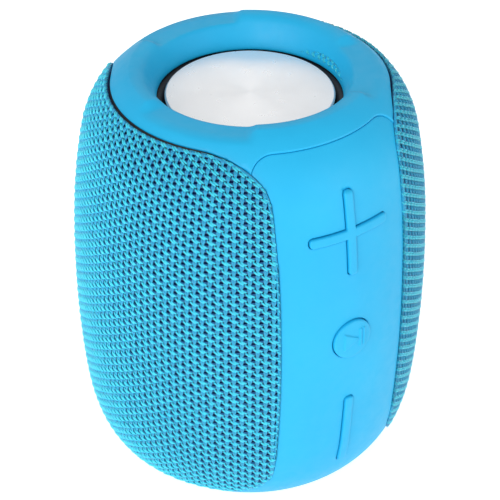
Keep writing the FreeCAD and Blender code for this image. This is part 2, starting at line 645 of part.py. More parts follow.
# ---- boards, battery and ports -------------------------------------------------------------
BOARD_HOLE, BOARD_HEAD, BOARD_SHANK = 0.95, (1.5, 0.9), 0.75
SWITCH_BODY, PLUNGER_RADIUS = (5.2, 1.4), 1.5
CHIPS = (                 # x, z, width, height along the board, thickness
    (0, 47.0, 7.0, 7.0, 0.9), (8.5, 50.0, 4.0, 4.0, 0.8), (-8.5, 57.0, 5.0, 6.0, 1.0),
    (9.5, 77.0, 3.0, 8.0, 1.3), (-9.0, 79.0, 6.0, 5.0, 1.2), (-10.0, 68.0, 3.2, 1.6, 0.6),
    (9.5, 87.5, 3.2, 3.2, 1.0), (8.0, 58.5, 3.2, 1.6, 0.6))
LIGHT_BACK = DECK_Y + 2.4
CELL_NUB = (2.9, 0.9)
CRADLE_HALF, CRADLE_Y, CRADLE_RIBS = 11.6, (-8.0, 12.0), (42.0, 76.0)
USB_SHELL, USB_MOUTH, USB_WINDOW = (9.0, 3.3), (8.4, 2.7), (9.5, 3.8)
AUX_NOSE, AUX_WINDOW = 3.0, 3.3


def board(side, low, high):
    inner, outer = DECK_Y + BOARD_GAP, DECK_Y + BOARD_GAP + BOARD_THICK
    y0, y1 = sorted((side * inner, side * outer))
    plate = rounded_window(BOARD_HALF, low, high, y0, y1, 2.0)
    holes = [cylinder(BOARD_HOLE, (x, side * 30, z), (x, side * 40, z))
             for at, x, z in board_screw_spots() if at == side]
    return cut(plate, holes)


def on_board(side, x, z, width, tall, high):
    """Small component standing on a board's outer face."""
    face = DECK_Y + BOARD_GAP + BOARD_THICK + 0.01
    y0, y1 = sorted((side * face, side * (face + high)))
    return box(x - width / 2, x + width / 2, y0, y1, z - tall / 2, z + tall / 2)


def tact_switch(side, z):
    """Switch under a key, with its round plunger."""
    face = DECK_Y + BOARD_GAP + BOARD_THICK
    width, high = SWITCH_BODY
    body = on_board(side, 0, z, width, width, high)
    plunger = cylinder(PLUNGER_RADIUS, (0, side * (face + high - 0.1), z), (0, side * SWITCH_TOP, z))
    return body.fuse(plunger)


def board_screws():
    face = DECK_Y + BOARD_GAP + BOARD_THICK + 0.02
    screws, (head_radius, head_thick) = [], BOARD_HEAD
    for side, x, z in board_screw_spots():
        head = cylinder(head_radius, (x, side * face, z), (x, side * (face + head_thick), z))
        shank = cylinder(BOARD_SHANK, (x, side * (DECK_Y - 1.3), z), (x, side * face, z))
        screws.append(head.fuse(shank))
    return Part.makeCompound(screws)


def make_boards():
    save("button_board", board(-1, *BUTTON_BOARD_Z))
    save("main_board", board(1, *MAIN_BOARD_Z))
    save("tact_switches", Part.makeCompound([tact_switch(side, z) for _, z, side in KEYS.values()]))
    save("main_board_components", Part.makeCompound([on_board(1, *chip) for chip in CHIPS]))
    save("board_screws", board_screws())
    lamp = cylinder(LIGHT_RADIUS, (0, LIGHT_BACK, LIGHT_Z), (0, FAR, LIGHT_Z))
    lamp_foot = cylinder(LIGHT_RADIUS + 0.6, (0, LIGHT_BACK, LIGHT_Z), (0, LIGHT_BACK + 1.6, LIGHT_Z))
    save("status_light_pipe", lamp.fuse(lamp_foot).common(barrel_solid(STRIP_SKIN[0], False)))
    capsule = cylinder(2.0, (0, DECK_Y + 1.45, MICROPHONE_Z), (0, DECK_Y + 3.2, MICROPHONE_Z))
    save("microphone", capsule)


def make_battery():
    low, high = CELL_Z
    can = ring(0, CELL_RADIUS, low, high)
    nub = ring(0, CELL_NUB[0], high, high + CELL_NUB[1])
    save("battery_cell", can.fuse(nub))
    outer = box(-CRADLE_HALF, CRADLE_HALF, *CRADLE_Y, low - 2.5, high + 3.5)
    hollow = cylinder(CELL_RADIUS + 0.3, (0, 0, low - 0.3), (0, 0, high + 1.3))
    mouth = box(-CELL_RADIUS + 0.6, CELL_RADIUS - 0.6, -FAR, 0, low - 0.3, high + 1.3)
    ribs = [box(-10.0, 10.0, CRADLE_Y[1] - 1, DECK_Y - DECK_WALL - 0.1, z, z + 4) for z in CRADLE_RIBS]
    save("battery_cradle", cut(fuse([outer] + ribs), [hollow, mouth]))


def make_ports():
    low, high = PORT_FLAP_Z
    window = flap_window(0)
    lid = barrel_solid(STRIP_SKIN[0], False).cut(barrel_solid(STRIP_SKIN[0] + FLAP_DEPTH, False))
    seal = barrel_solid(STRIP_SKIN[0] + FLAP_DEPTH - 0.1, False)
    seal = seal.cut(barrel_solid(SHELL[0] - 0.15, False))
    seal = seal.common(rounded_window(11.2, low + 2.4, high - 2.4, BEHIND, FAR, 2.4))
    save("port_flap", fuse([lid.common(window), seal]))

    insert = barrel_solid(SHELL[0] + 0.05, False).cut(barrel_solid(SHELL[1] - 0.05, False))
    half, inset, corner = [size + step for size, step in zip(PORT_WINDOW, (-0.2, 0.2, -0.2))]
    insert = insert.common(rounded_window(half, low + inset, high - inset, BEHIND, FAR, corner))
    usb_hole = stadium(*USB_WINDOW, USB_X, USB_Z, 30, FAR)
    aux_hole = cylinder(AUX_WINDOW, (AUX_X, 30, AUX_Z), (AUX_X, FAR, AUX_Z))
    card_hole = box(-6.4, 6.4, 30, FAR, CARD_Z - 0.75, CARD_Z + 0.6)
    save("port_bay_plate", cut(insert, [usb_hole, aux_hole, card_hole]))

    shell = stadium(*USB_SHELL, USB_X, USB_Z, USB_FRONT - 7.3, USB_FRONT)
    mouth = stadium(*USB_MOUTH, USB_X, USB_Z, USB_FRONT - 6.4, USB_FRONT + 1)
    tongue = box(USB_X - 3.3, USB_X + 3.3, USB_FRONT - 6.6, USB_FRONT - 0.9, USB_Z - 0.35, USB_Z + 0.35)
    save("charging_socket", shell.cut(mouth).fuse(tongue))

    back = AUX_FRONT - AUX_DEPTH - 1.0
    body = box(AUX_X - 3.2, AUX_X + 3.2, back, AUX_FRONT - 2.6, PORT_BOARD_Z[1] + 0.02, AUX_Z + 2.8)
    nose = cylinder(AUX_NOSE, (AUX_X, AUX_FRONT - 2.7, AUX_Z), (AUX_X, AUX_FRONT, AUX_Z))
    bore = cylinder(AUX_BORE, (AUX_X, AUX_FRONT - AUX_DEPTH, AUX_Z), (AUX_X, AUX_FRONT + 1, AUX_Z))
    save("aux_jack", fuse([body, nose]).cut(bore))

    case = box(-7.2, 7.2, CARD_FRONT - 15, CARD_FRONT - 3.2, PORT_BOARD_Z[0] - 1.9, PORT_BOARD_Z[0] - 0.02)
    lips = box(-6.2, 6.2, CARD_FRONT - 3.3, CARD_FRONT - 0.4, CARD_Z - 0.7, CARD_Z + 0.55)
    slot = box(-5.6, 5.6, CARD_FRONT - 14, CARD_FRONT + 1, CARD_Z - 0.45, CARD_Z + 0.35)
    save("card_slot", fuse([case, lips]).cut(slot))

    z0, z1 = PORT_BOARD_Z
    save("port_board", box(-11.4, 11.4, 17.0, 36.2, z0, z1))


def stadium(length, height, x, z, y0, y1):
    """Slot with round ends, lying along X."""
    reach, radius = (length - height) / 2, height / 2
    trunk = box(x - reach, x + reach, y0, y1, z - radius, z + radius)
    ends = [cylinder(radius, (x + dx, y0, z), (x + dx, y1, z)) for dx in (-reach, reach)]
    return fuse([trunk] + ends)


# ---- the whole speaker ---------------------------------------------------------------------
make_skins()
for key in KEYS:
    save(key, key_solid(key))
make_chamber()
make_ends()
make_drivers()
make_boards()
make_battery()
make_ports()
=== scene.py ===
import json
import math

import bpy
import numpy as np
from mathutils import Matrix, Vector
from mathutils.geometry import delaunay_2d_cdt
from mathutils.kdtree import KDTree


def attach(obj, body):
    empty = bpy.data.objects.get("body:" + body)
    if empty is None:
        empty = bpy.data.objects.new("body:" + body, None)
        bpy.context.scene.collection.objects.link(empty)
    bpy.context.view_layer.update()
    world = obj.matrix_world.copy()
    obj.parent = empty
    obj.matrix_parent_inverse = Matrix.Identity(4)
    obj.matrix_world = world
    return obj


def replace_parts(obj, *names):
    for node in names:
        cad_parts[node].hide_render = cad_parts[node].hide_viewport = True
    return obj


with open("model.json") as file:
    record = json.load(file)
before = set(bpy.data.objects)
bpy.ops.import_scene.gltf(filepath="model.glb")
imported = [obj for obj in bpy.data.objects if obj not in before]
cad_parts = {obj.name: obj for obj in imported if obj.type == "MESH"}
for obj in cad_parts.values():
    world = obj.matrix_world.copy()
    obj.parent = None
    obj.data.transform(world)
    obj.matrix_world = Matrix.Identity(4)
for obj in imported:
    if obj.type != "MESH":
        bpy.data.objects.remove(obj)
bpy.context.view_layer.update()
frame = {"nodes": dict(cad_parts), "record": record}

# Everything below is worked out in millimetres, in the frame's own axes, and scaled on the way
# into a mesh. +Z up the barrel, -Y out of the front strip.
MM = 0.001

# ---- the barrel's outline, as in the CAD model ---------------------------------------------
HEIGHT = 111.2
BODY_RADIUS = 45.0
BELLY_Z = 51.5
OUTLINE_LOW = -0.35
CREST_RADIUS = 29.6
CREST_FLAT = 1.4
CREST_ROUND = 3.5
UPPER_TURNS, UPPER_CORNER = (3.5, 11.5, 53.0), 25.5
LOWER_TURNS, LOWER_CORNER = (5.5, 16.3, 57.6), 24.3
LIP_TURNS, LIP_RADIUS = (145.0, 170.0), 15.0
WELL_FLOOR = 8.2
CROWN_RADIUS, CROWN_ROUND, CROWN_TURNS = 28.75, 2.2, (41.0, 57.0)     # the rubber's own shoulder

STRIP_HALF = 18.25
STRIP_TOP_HALF = 21.7
SEAM = 0.25
SEAM_TOP_Z = 107.4
PANEL_LOW_Z = 7.2
STRIP_CORNER = 7.5
PANEL_TOP_CORNER = 9.5
PANEL_LOW_CORNER = 10.0
SAMPLE = 0.05            # spacing of the outline's samples


def turn(degrees):
    return math.cos(math.radians(degrees)), math.sin(math.radians(degrees))


def side_arcs(turns, corner, rise):
    """(radius, first angle, last angle) of the four arcs from the belly to the crest."""
    stops = [0.0, *turns, 90.0]
    widths = [turn(b)[0] - turn(a)[0] for a, b in zip(stops, stops[1:])]
    rises = [turn(b)[1] - turn(a)[1] for a, b in zip(stops, stops[1:])]
    width_left = CREST_RADIUS - BODY_RADIUS - corner * widths[2] - CREST_ROUND * widths[3]
    rise_left = rise - corner * rises[2] - CREST_ROUND * rises[3]
    scale = widths[0] * rises[1] - widths[1] * rises[0]
    first = (width_left * rises[1] - widths[1] * rise_left) / scale
    second = (widths[0] * rise_left - width_left * rises[0]) / scale
    return [(r, a, b) for r, a, b in zip((first, second, corner, CREST_ROUND), stops, stops[1:])]


def crown_arcs(arcs):
    """The top ring's and strips' own arcs: they leave the outline at its second turn."""
    low, middle, high = arcs[1][2], *CROWN_TURNS
    spots = [turn(angle) for angle in (low, middle, high)]
    start = [sum(r * (turn(b)[i] - turn(a)[i]) for r, a, b in arcs[:2]) for i in (0, 1)]
    width = CROWN_RADIUS - BODY_RADIUS - start[0] + CROWN_ROUND * spots[2][0]
    rise = HEIGHT - BELLY_Z - start[1] - CROWN_ROUND * (1 - spots[2][1])
    (a, b), (c, d) = [(spots[1][i] - spots[0][i], spots[2][i] - spots[1][i]) for i in (0, 1)]
    first, second = (width * d - b * rise) / (a * d - b * c), (a * rise - width * c) / (a * d - b * c)
    return arcs[:2] + [(first, low, middle), (second, middle, high), (CROWN_ROUND, high, 90.0)]


def half_outline(arcs, sign):
    """Rows of (arc length, radius, height, normal's angle) from the belly into one end's well."""
    radius_at, height_at = BODY_RADIUS - arcs[0][0], 0.0
    last, length, rows = arcs[0][0], 0.0, []
    crest = HEIGHT - BELLY_Z if sign > 0 else BELLY_Z - OUTLINE_LOW
    for step in [*arcs, None, (CREST_ROUND, 90.0, LIP_TURNS[0]), (LIP_RADIUS, *LIP_TURNS)]:
        if step is None:
            length += radius_at - (CREST_RADIUS - CREST_FLAT)
            radius_at = CREST_RADIUS - CREST_FLAT
            continue
        radius, start, end = step
        radius_at += (last - radius) * turn(start)[0]
        height_at += (last - radius) * turn(start)[1]
        last = radius
        run = radius * math.radians(end - start)
        for t in np.linspace(0, 1, max(3, int(run / SAMPLE))):
            angle = start + (end - start) * t
            out_r, out_h = turn(angle)
            rows.append((length + run * t, radius_at + radius * out_r, height_at + radius * out_h, angle))
        length += run
    drop = rows[-1][2] - (crest - WELL_FLOOR)
    rows.append((length + 0.01, rows[-1][1], rows[-1][2], 180.0))
    rows.append((length + drop, rows[-1][1], crest - WELL_FLOOR, 180.0))
    return [(sign * s, r, BELLY_Z + sign * h, sign * a) for s, r, h, a in rows]


UPPER = side_arcs(UPPER_TURNS, UPPER_CORNER, HEIGHT - BELLY_Z)
LOWER = side_arcs(LOWER_TURNS, LOWER_CORNER, BELLY_Z - OUTLINE_LOW)
OUTLINE = np.array(half_outline(LOWER, -1)[:0:-1] + half_outline(UPPER, 1))
S_TOP, S_LOW = OUTLINE[-1, 0], OUTLINE[0, 0]

# The rubber's outline has the cloth's arc lengths, with its own place for each slope near the top.
CROWN = np.array([row for row in half_outline(crown_arcs(UPPER), 1) if row[1] >= CROWN_RADIUS - 1e-6])
RUBBER = OUTLINE.copy()
shoulder = (OUTLINE[:, 0] > 0) & (OUTLINE[:, 1] >= CREST_RADIUS - 1e-6)
for column in (1, 2):
    RUBBER[shoulder, column] = np.interp(OUTLINE[shoulder, 3], CROWN[:, 3], CROWN[:, column])


def radius_of(s, outline=OUTLINE):
    return np.interp(s, outline[:, 0], outline[:, 1])


def s_of(z, outline=OUTLINE):
    side = outline[np.abs(outline[:, 3]) < 89]           # the part where height only rises
    return np.interp(z, side[:, 2], side[:, 0])


def surface(az, s, depth, outline=OUTLINE):
    """Points on the barrel: azimuth from +X in radians, arc length from the belly, depth inside."""
    az, s, depth = np.broadcast_arrays(np.asarray(az, float), s, depth)
    height = np.interp(s, outline[:, 0], outline[:, 2])
    angle = np.radians(np.interp(s, outline[:, 0], outline[:, 3]))
    radius = radius_of(s, outline) - depth * np.cos(angle)
    return np.stack([radius * np.cos(az), radius * np.sin(az), height - depth * np.sin(angle)], -1)


def seen(x, z, side, outline=OUTLINE):
    """(azimuth, arc length) of the surface point seen at x, z from the front (-1) or back (1)."""
    s = s_of(z, outline)
    return side * np.arccos(np.clip(np.asarray(x) / radius_of(s, outline), -1, 1)), s


# ---- helpers -------------------------------------------------------------------------------
def smooth(t):
    """Eases from 0 to 1."""
    return t * t * (3 - 2 * t)


def stacked(parts):
    """Vertices and faces of several meshes as one."""
    starts = np.cumsum([0] + [len(part[0]) for part in parts[:-1]])
    return (np.vstack([part[0] for part in parts]),
            np.vstack([part[1] + start for part, start in zip(parts, starts)]))


def new_object(name, verts, faces, body, slot, material):
    """Mesh from millimetres, riding on a body of the frame."""
    mesh = bpy.data.meshes.new(name)
    verts = np.asarray(verts, np.float32).reshape(-1, 3) * MM
    faces = np.asarray(faces, np.int32)
    sides = faces.shape[1]
    mesh.vertices.add(len(verts))
    mesh.vertices.foreach_set("co", verts.ravel())
    mesh.loops.add(faces.size)
    mesh.loops.foreach_set("vertex_index", faces.ravel())
    mesh.polygons.add(len(faces))
    mesh.polygons.foreach_set("loop_start", np.arange(0, faces.size, sides, dtype=np.int32))
    mesh.polygons.foreach_set("use_smooth", np.full(len(faces), True))
    mesh.update(calc_edges=True)
    mesh.validate()
    obj = bpy.data.objects.new(name, mesh)
    bpy.context.scene.collection.objects.link(obj)
    obj.data.materials.append(material)
    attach(obj, body)
    return obj


# ---- materials -----------------------------------------------------------------------------
class Shader:
    """One procedural material. Every pattern is measured in millimetres of the object's own space."""

    def __init__(self, name, base, roughness, metallic=0.0, **sockets):
        self.material = bpy.data.materials.new(name)
        self.material.use_nodes = True
        self.tree = self.material.node_tree
        self.bsdf = self.tree.nodes["Principled BSDF"]
        self.bsdf.inputs["Base Color"].default_value = (*base, 1)
        self.bsdf.inputs["Roughness"].default_value = roughness
        self.bsdf.inputs["Metallic"].default_value = metallic
        for socket, value in sockets.items():
            self.bsdf.inputs[socket.replace("_", " ")].default_value = value
        self.coords = self.node("ShaderNodeTexCoord").outputs["Object"]

    def node(self, kind, **settings):
        node = self.tree.nodes.new(kind)
        for key, value in settings.items():
            setattr(node, key, value)
        return node

    def link(self, a, b):
        self.tree.links.new(a, b)

    def scaled(self, per_mm, coords=None):
        """Coordinates times (x, y, z) features per millimetre."""
        mapping = self.node("ShaderNodeMapping")
        self.link(coords or self.coords, mapping.inputs["Vector"])
        mapping.inputs["Scale"].default_value = [f / MM for f in per_mm]
        return mapping.outputs["Vector"]

    def noise(self, per_mm, detail=3.0, rough=0.5, distortion=0.0):
        per_mm = (per_mm,) * 3 if isinstance(per_mm, (int, float)) else per_mm
        noise = self.node("ShaderNodeTexNoise")
        self.link(self.scaled(per_mm), noise.inputs["Vector"])
        noise.inputs["Scale"].default_value = 1.0
        noise.inputs["Detail"].default_value = detail
        noise.inputs["Roughness"].default_value = rough
        noise.inputs["Distortion"].default_value = distortion
        return noise.outputs["Fac"]

    def cells(self, per_mm, feature="F1"):
        per_mm = (per_mm,) * 3 if isinstance(per_mm, (int, float)) else per_mm
        cells = self.node("ShaderNodeTexVoronoi", feature=feature)
        self.link(self.scaled(per_mm), cells.inputs["Vector"])
        cells.inputs["Scale"].default_value = 1.0
        return cells.outputs["Distance"]

    def wave(self, per_mm, kind="BANDS", direction="X", distortion=0.0, detail_scale=1.0):
        """Bands or rings. The texture's own wave is 2 pi / 20 long, so that is divided out."""
        wave = self.node("ShaderNodeTexWave", wave_type=kind)
        setattr(wave, "bands_direction" if kind == "BANDS" else "rings_direction", direction)
        self.link(self.scaled((1, 1, 1)), wave.inputs["Vector"])
        wave.inputs["Scale"].default_value = per_mm * 2 * math.pi / 20
        wave.inputs["Distortion"].default_value = distortion
        wave.inputs["Detail Scale"].default_value = detail_scale
        return wave.outputs["Fac"]

    def ramp(self, value, *stops):
        """Colour or grey by value: stops are (place, colour)."""
        ramp = self.node("ShaderNodeValToRGB")
        self.link(value, ramp.inputs["Fac"])
        elements = ramp.color_ramp.elements
        while len(elements) < len(stops):
            elements.new(0.5)
        for element, (place, colour) in zip(elements, stops):
            colour = (colour,) * 3 if isinstance(colour, (int, float)) else colour
            element.position, element.color = place, (*colour, 1)
        return ramp.outputs["Color"]

    def maths(self, operation, a, b):
        node = self.node("ShaderNodeMath", operation=operation)
        for socket, value in zip(node.inputs, (a, b)):
            if isinstance(value, (int, float)):
                socket.default_value = value
            else:
                self.link(value, socket)
        return node.outputs[0]

    def mix(self, factor, a, b, blend="MIX"):
        node = self.node("ShaderNodeMix", data_type="RGBA", blend_type=blend)
        for socket, value in zip((node.inputs[0], node.inputs[6], node.inputs[7]), (factor, a, b)):
            if isinstance(value, (int, float)):
                socket.default_value = value
            elif isinstance(value, tuple):
                socket.default_value = (*value, 1)
            else:
                self.link(value, socket)
        return node.outputs[2]

    def colour(self, output):
        self.link(output, self.bsdf.inputs["Base Color"])
        return self

    def rough(self, output):
        self.link(output, self.bsdf.inputs["Roughness"])
        return self

    def bump(self, height, depth_mm, strength=1.0):
        """Height field of depth_mm from black to white."""
        bump = self.node("ShaderNodeBump")
        bump.inputs["Strength"].default_value = strength
        bump.inputs["Distance"].default_value = depth_mm * MM
        self.link(height, bump.inputs["Height"])
        last = self.bsdf.inputs["Normal"]
        if last.is_linked:
            self.link(last.links[0].from_socket, bump.inputs["Normal"])
        self.link(bump.outputs["Normal"], last)
        return self


def grained_material(name, dark, light, roughness, grain, blotch, depth, metallic=0.0):
    """Moulded or cast surface: fine grain in the bump, faint large blotches in the colour."""
    s = Shader(name, dark, roughness, metallic)
    s.colour(s.ramp(s.noise(blotch, 4.0, 0.6), (0.3, dark), (0.7, light)))
    s.rough(s.ramp(s.noise(grain * 0.4, 3.0), (0.3, roughness - 0.06), (0.7, roughness + 0.06)))
    s.bump(s.noise(grain, 2.0, 0.6), depth)
    return s.material


def silicone_material():
    s = Shader("blue_silicone", SILICONE_DARK, 0.52, Specular_IOR_Level=0.42)
    s.colour(s.ramp(s.noise(0.035, 4.0, 0.55), (0.25, SILICONE_DARK), (0.75, SILICONE_LIGHT)))
    s.rough(s.ramp(s.noise(0.4, 3.0), (0.3, 0.47), (0.7, 0.58)))
    s.bump(s.noise(3.2, 2.0, 0.6), 0.012)
    s.bump(s.noise(0.09, 2.0, 0.5), 0.05)
    return s.material


def yarn_material(name, dark, light, roughness):
    s = Shader(name, dark, roughness, Specular_IOR_Level=0.7, Sheen_Weight=0.15, Sheen_Roughness=0.4)
    uv = s.node("ShaderNodeUVMap").outputs["UV"]
    # The plies show as fine slanting bands: U runs along the yarn and V round it, in millimetres.
    plies = s.node("ShaderNodeTexWave", wave_type="BANDS", bands_direction="DIAGONAL")
    s.link(uv, plies.inputs["Vector"])
    plies.inputs["Scale"].default_value = 1.6
    plies.inputs["Distortion"].default_value = 0.6
    plies.inputs["Detail Scale"].default_value = 3.0
    fibre = plies.outputs["Fac"]
    tone = s.noise(0.45, 3.0, 0.65)
    blend = s.maths("ADD", s.maths("MULTIPLY", fibre, 0.55), s.maths("MULTIPLY", tone, 0.45))
    s.colour(s.ramp(blend, (0.22, dark), (0.72, light)))
    s.rough(s.ramp(tone, (0.3, roughness - 0.08), (0.7, roughness + 0.08)))
    s.bump(fibre, 0.06)
    return s.material


def disc_material():
    s = Shader("spun_aluminium", (0.93, 0.93, 0.935), 0.3, 0.45, Anisotropic=0.9)
    tangent = s.node("ShaderNodeTangent", direction_type="RADIAL", axis="Z")
    s.link(tangent.outputs["Tangent"], s.bsdf.inputs["Tangent"])
    grooves = s.wave(2.6, "RINGS", "Z", 0.25, 2.0)
    s.colour(s.ramp(grooves, (0.0, (0.90, 0.90, 0.905)), (1.0, (0.96, 0.96, 0.965))))
    s.rough(s.ramp(s.noise(0.3, 4.0), (0.3, 0.27), (0.7, 0.33)))
    s.bump(grooves, 0.004)
    return s.material


def copper_material():
    s = Shader("copper_winding", (0.72, 0.36, 0.20), 0.3, 1.0)
    turns = s.wave(4.5, "BANDS", "X", 0.1)
    s.colour(s.ramp(turns, (0.2, (0.42, 0.17, 0.08)), (0.8, (0.80, 0.42, 0.24))))
    s.bump(turns, 0.05)
    return s.material


def paper_material():
    s = Shader("cone_paper", (0.02, 0.02, 0.022), 0.85)
    fibres = s.noise((0.9, 2.2, 2.2), 6.0, 0.75, 1.5)
    s.colour(s.ramp(fibres, (0.3, (0.012, 0.012, 0.014)), (0.75, (0.05, 0.05, 0.053))))
    s.bump(fibres, 0.05)
    return s.material


def spider_material():
    s = Shader("spider_cloth", (0.55, 0.36, 0.12), 0.8)
    up, across = s.wave(1.4, "BANDS", "Y"), s.wave(1.4, "BANDS", "Z")
    weave = s.maths("MULTIPLY", up, across)
    s.colour(s.ramp(weave, (0.0, (0.33, 0.19, 0.05)), (0.8, (0.68, 0.47, 0.2))))
    s.bump(weave, 0.08)
    return s.material


def board_material():
    s = Shader("circuit_board", (0.01, 0.07, 0.05), 0.35, Coat_Weight=0.4)
    tracks = s.cells((0.35, 0.35, 0.35), "DISTANCE_TO_EDGE")
    copper = s.ramp(tracks, (0.04, 1.0), (0.07, 0.0))
    pads = s.ramp(s.cells(0.7), (0.14, 1.0), (0.18, 0.0))
    green = s.mix(copper, (0.008, 0.075, 0.045), (0.02, 0.16, 0.09))
    s.colour(s.mix(pads, green, (0.62, 0.60, 0.50)))
    s.bump(copper, 0.03)
    return s.material


def wrap_material():
    s = Shader("cell_wrap", (0.03, 0.09, 0.30), 0.28, Coat_Weight=0.5)
    wrinkles = s.noise((0.5, 0.5, 0.08), 4.0, 0.6, 0.8)
    s.colour(s.ramp(wrinkles, (0.3, (0.022, 0.07, 0.24)), (0.7, (0.045, 0.12, 0.36))))
    s.bump(wrinkles, 0.08)
    return s.material


def clear_material():
    s = Shader("clear_plastic", (0.85, 0.90, 0.95), 0.12, Transmission_Weight=0.85, IOR=1.49)
    s.rough(s.ramp(s.noise(0.8, 3.0), (0.3, 0.10), (0.7, 0.22)))
    s.bump(s.noise(1.2, 2.0), 0.01)
    return s.material


def brushed_material(name, dark, light, roughness, axis):
    """Rolled or turned metal: streaks drawn out along one axis."""
    s = Shader(name, dark, roughness, 1.0)
    stretch = tuple(0.12 if i == axis else 3.0 for i in range(3))
    streaks = s.noise(stretch, 4.0, 0.65)
    s.colour(s.ramp(streaks, (0.3, dark), (0.7, light)))
    s.rough(s.ramp(streaks, (0.3, roughness - 0.08), (0.7, roughness + 0.1)))
    s.bump(streaks, 0.012)
    return s.material


SILICONE_DARK, SILICONE_LIGHT = (0.004, 0.39, 0.71), (0.009, 0.44, 0.76)
YARN_DARK, YARN_LIGHT = (0.003, 0.52, 0.92), (0.06, 0.93, 1.0)
STEM_DARK, STEM_LIGHT = (0.001, 0.28, 0.60), (0.008, 0.56, 0.88)
# Weft: a mid-blue ground yarn, with painted shade that makes it darker for lying deep behind the units.
WEFT_PAINTED_SHADE_DARK, WEFT_PAINTED_SHADE_LIGHT = (0.0, 0.10, 0.34), (0.001, 0.20, 0.48)

SILICONE = silicone_material()
STRAND = yarn_material("cloth_strand", YARN_DARK, YARN_LIGHT, 0.34)
STEM = yarn_material("cloth_stem", STEM_DARK, STEM_LIGHT, 0.4)
# The weft's material darkens it with painted shade.
WEFT_PAINTED_SHADE = yarn_material("cloth_weft", WEFT_PAINTED_SHADE_DARK, WEFT_PAINTED_SHADE_LIGHT, 0.6)
BACKING = grained_material("cloth_backing", (0.001, 0.022, 0.12), (0.002, 0.034, 0.17), 0.9, 2.5, 0.2, 0.05)

# Slot: darker and lighter colour, roughness, grain and blotches per mm, bump in mm, metal
GRAINED = {
    "black_plastic": ((0.012, 0.012, 0.013), (0.024, 0.024, 0.026), 0.55, 2.0, 0.05, 0.02),
    "black_rubber": ((0.006, 0.008, 0.013), (0.012, 0.015, 0.022), 0.62, 3.0, 0.06, 0.02),
    "basket_steel": ((0.018, 0.018, 0.019), (0.035, 0.035, 0.037), 0.42, 1.2, 0.05, 0.02, 0.4),
    "ferrite": ((0.045, 0.045, 0.047), (0.09, 0.09, 0.09), 0.6, 2.5, 0.4, 0.05, 0.3),
    "chip_black": ((0.010, 0.010, 0.011), (0.03, 0.03, 0.032), 0.5, 4.0, 0.3, 0.02),
}

# Slot: darker and lighter colour, roughness, axis of the streaks
BRUSHED = {
    "weight_steel": ((0.30, 0.30, 0.31), (0.46, 0.46, 0.47), 0.38, 2),
    "switch_metal": ((0.52, 0.52, 0.53), (0.70, 0.70, 0.71), 0.32, 0),
    "socket_steel": ((0.50, 0.50, 0.52), (0.72, 0.72, 0.73), 0.28, 1),
    "screw_steel": ((0.09, 0.09, 0.10), (0.2, 0.2, 0.21), 0.35, 2),
}

SLOT_MATERIALS = {
    "silicone": SILICONE,
    "cloth": BACKING,
    "spun_aluminium": disc_material(),
    "copper": copper_material(),
    "cone_paper": paper_material(),
    "spider_cloth": spider_material(),
    "circuit_board": board_material(),
    "cell_wrap": wrap_material(),
    "clear_plastic": clear_material(),
    **{slot: grained_material(slot, *values) for slot, values in GRAINED.items()},
    **{slot: brushed_material(slot, *values) for slot, values in BRUSHED.items()},
}

for part in frame["record"]["subparts"]:
    obj = frame["nodes"][part["node"]]
    obj.data.materials.clear()
    obj.data.materials.append(SLOT_MATERIALS[part["material_slot"]])


# ---- regions of the barrel's surface --------------------------------------------------------
def arc_points(centre, radius, start, end, step):
    """Round corner in the X-Z plane, both ends included, angles in degrees."""
    count = max(3, int(abs(math.radians(end - start)) * radius / step) + 2)
    return [(centre[0] + radius * turn(a)[0], centre[1] + radius * turn(a)[1])
            for a in np.linspace(start, end, count)]


def straight(a, b, step):
    """Points from a to b, without the two ends."""
    count = max(2, int(math.dist(a, b) / step) + 1)
    return [tuple(p) for p in np.linspace(a, b, count + 1)[1:-1]]


def along_flat(z, x, step, outline):
    """Points at height z on the right flank from azimuth 0 to the place seen at x, in front."""
    s = float(s_of(z, outline))
    reach = float(np.arccos(x / radius_of(s, outline)))
    return [(-a, s) for a in np.linspace(0, reach, int(reach * BODY_RADIUS / step) + 2)]


def from_front(points, outline):
    return [tuple(p) for p in np.stack(seen(*np.array(points).T, -1, outline), -1)]


def four_quarters(quarter):
    """A line round the barrel from its run over azimuth 0 to -90, as azimuth 180 down to -180."""
    quarter = np.array(quarter)
    mirrored = quarter[::-1] * (-1, 1) + (-math.pi, 0)
    half = np.vstack([quarter, mirrored[1:]])
    other = half[::-1] * (-1, 1)
    return np.vstack([other[:-1], half])


def panel_edge(grow, step):
    """One cloth panel's front edge as X-Z points, from its bottom corner up to its top corner."""
    near = STRIP_HALF + SEAM - grow
    low, high = PANEL_LOW_Z - grow, SEAM_TOP_Z + grow
    low_r, top_r = PANEL_LOW_CORNER + grow, PANEL_TOP_CORNER + grow
    return (arc_points((near + low_r, low + low_r), low_r, 270, 180, step)
            + straight((near, low + low_r), (near, high - top_r), step)
            + arc_points((near + top_r, high - top_r), top_r, 180, 90, step))


def panel_loop(side, grow, step):
    """One cloth panel's edge as (azimuth, arc length), anticlockwise seen from outside."""
    edge = panel_edge(grow, step)
    bottom, top = [along_flat(z, x, step, OUTLINE) for x, z in (edge[0], edge[-1])]
    half = np.array(bottom[:-1] + from_front(edge, OUTLINE) + top[::-1][1:])[::-1]
    loop = np.vstack([half, half[::-1][1:-1] * (-1, 1)])
    if side < 0:
        loop = loop + (math.pi, 0)
    return loop


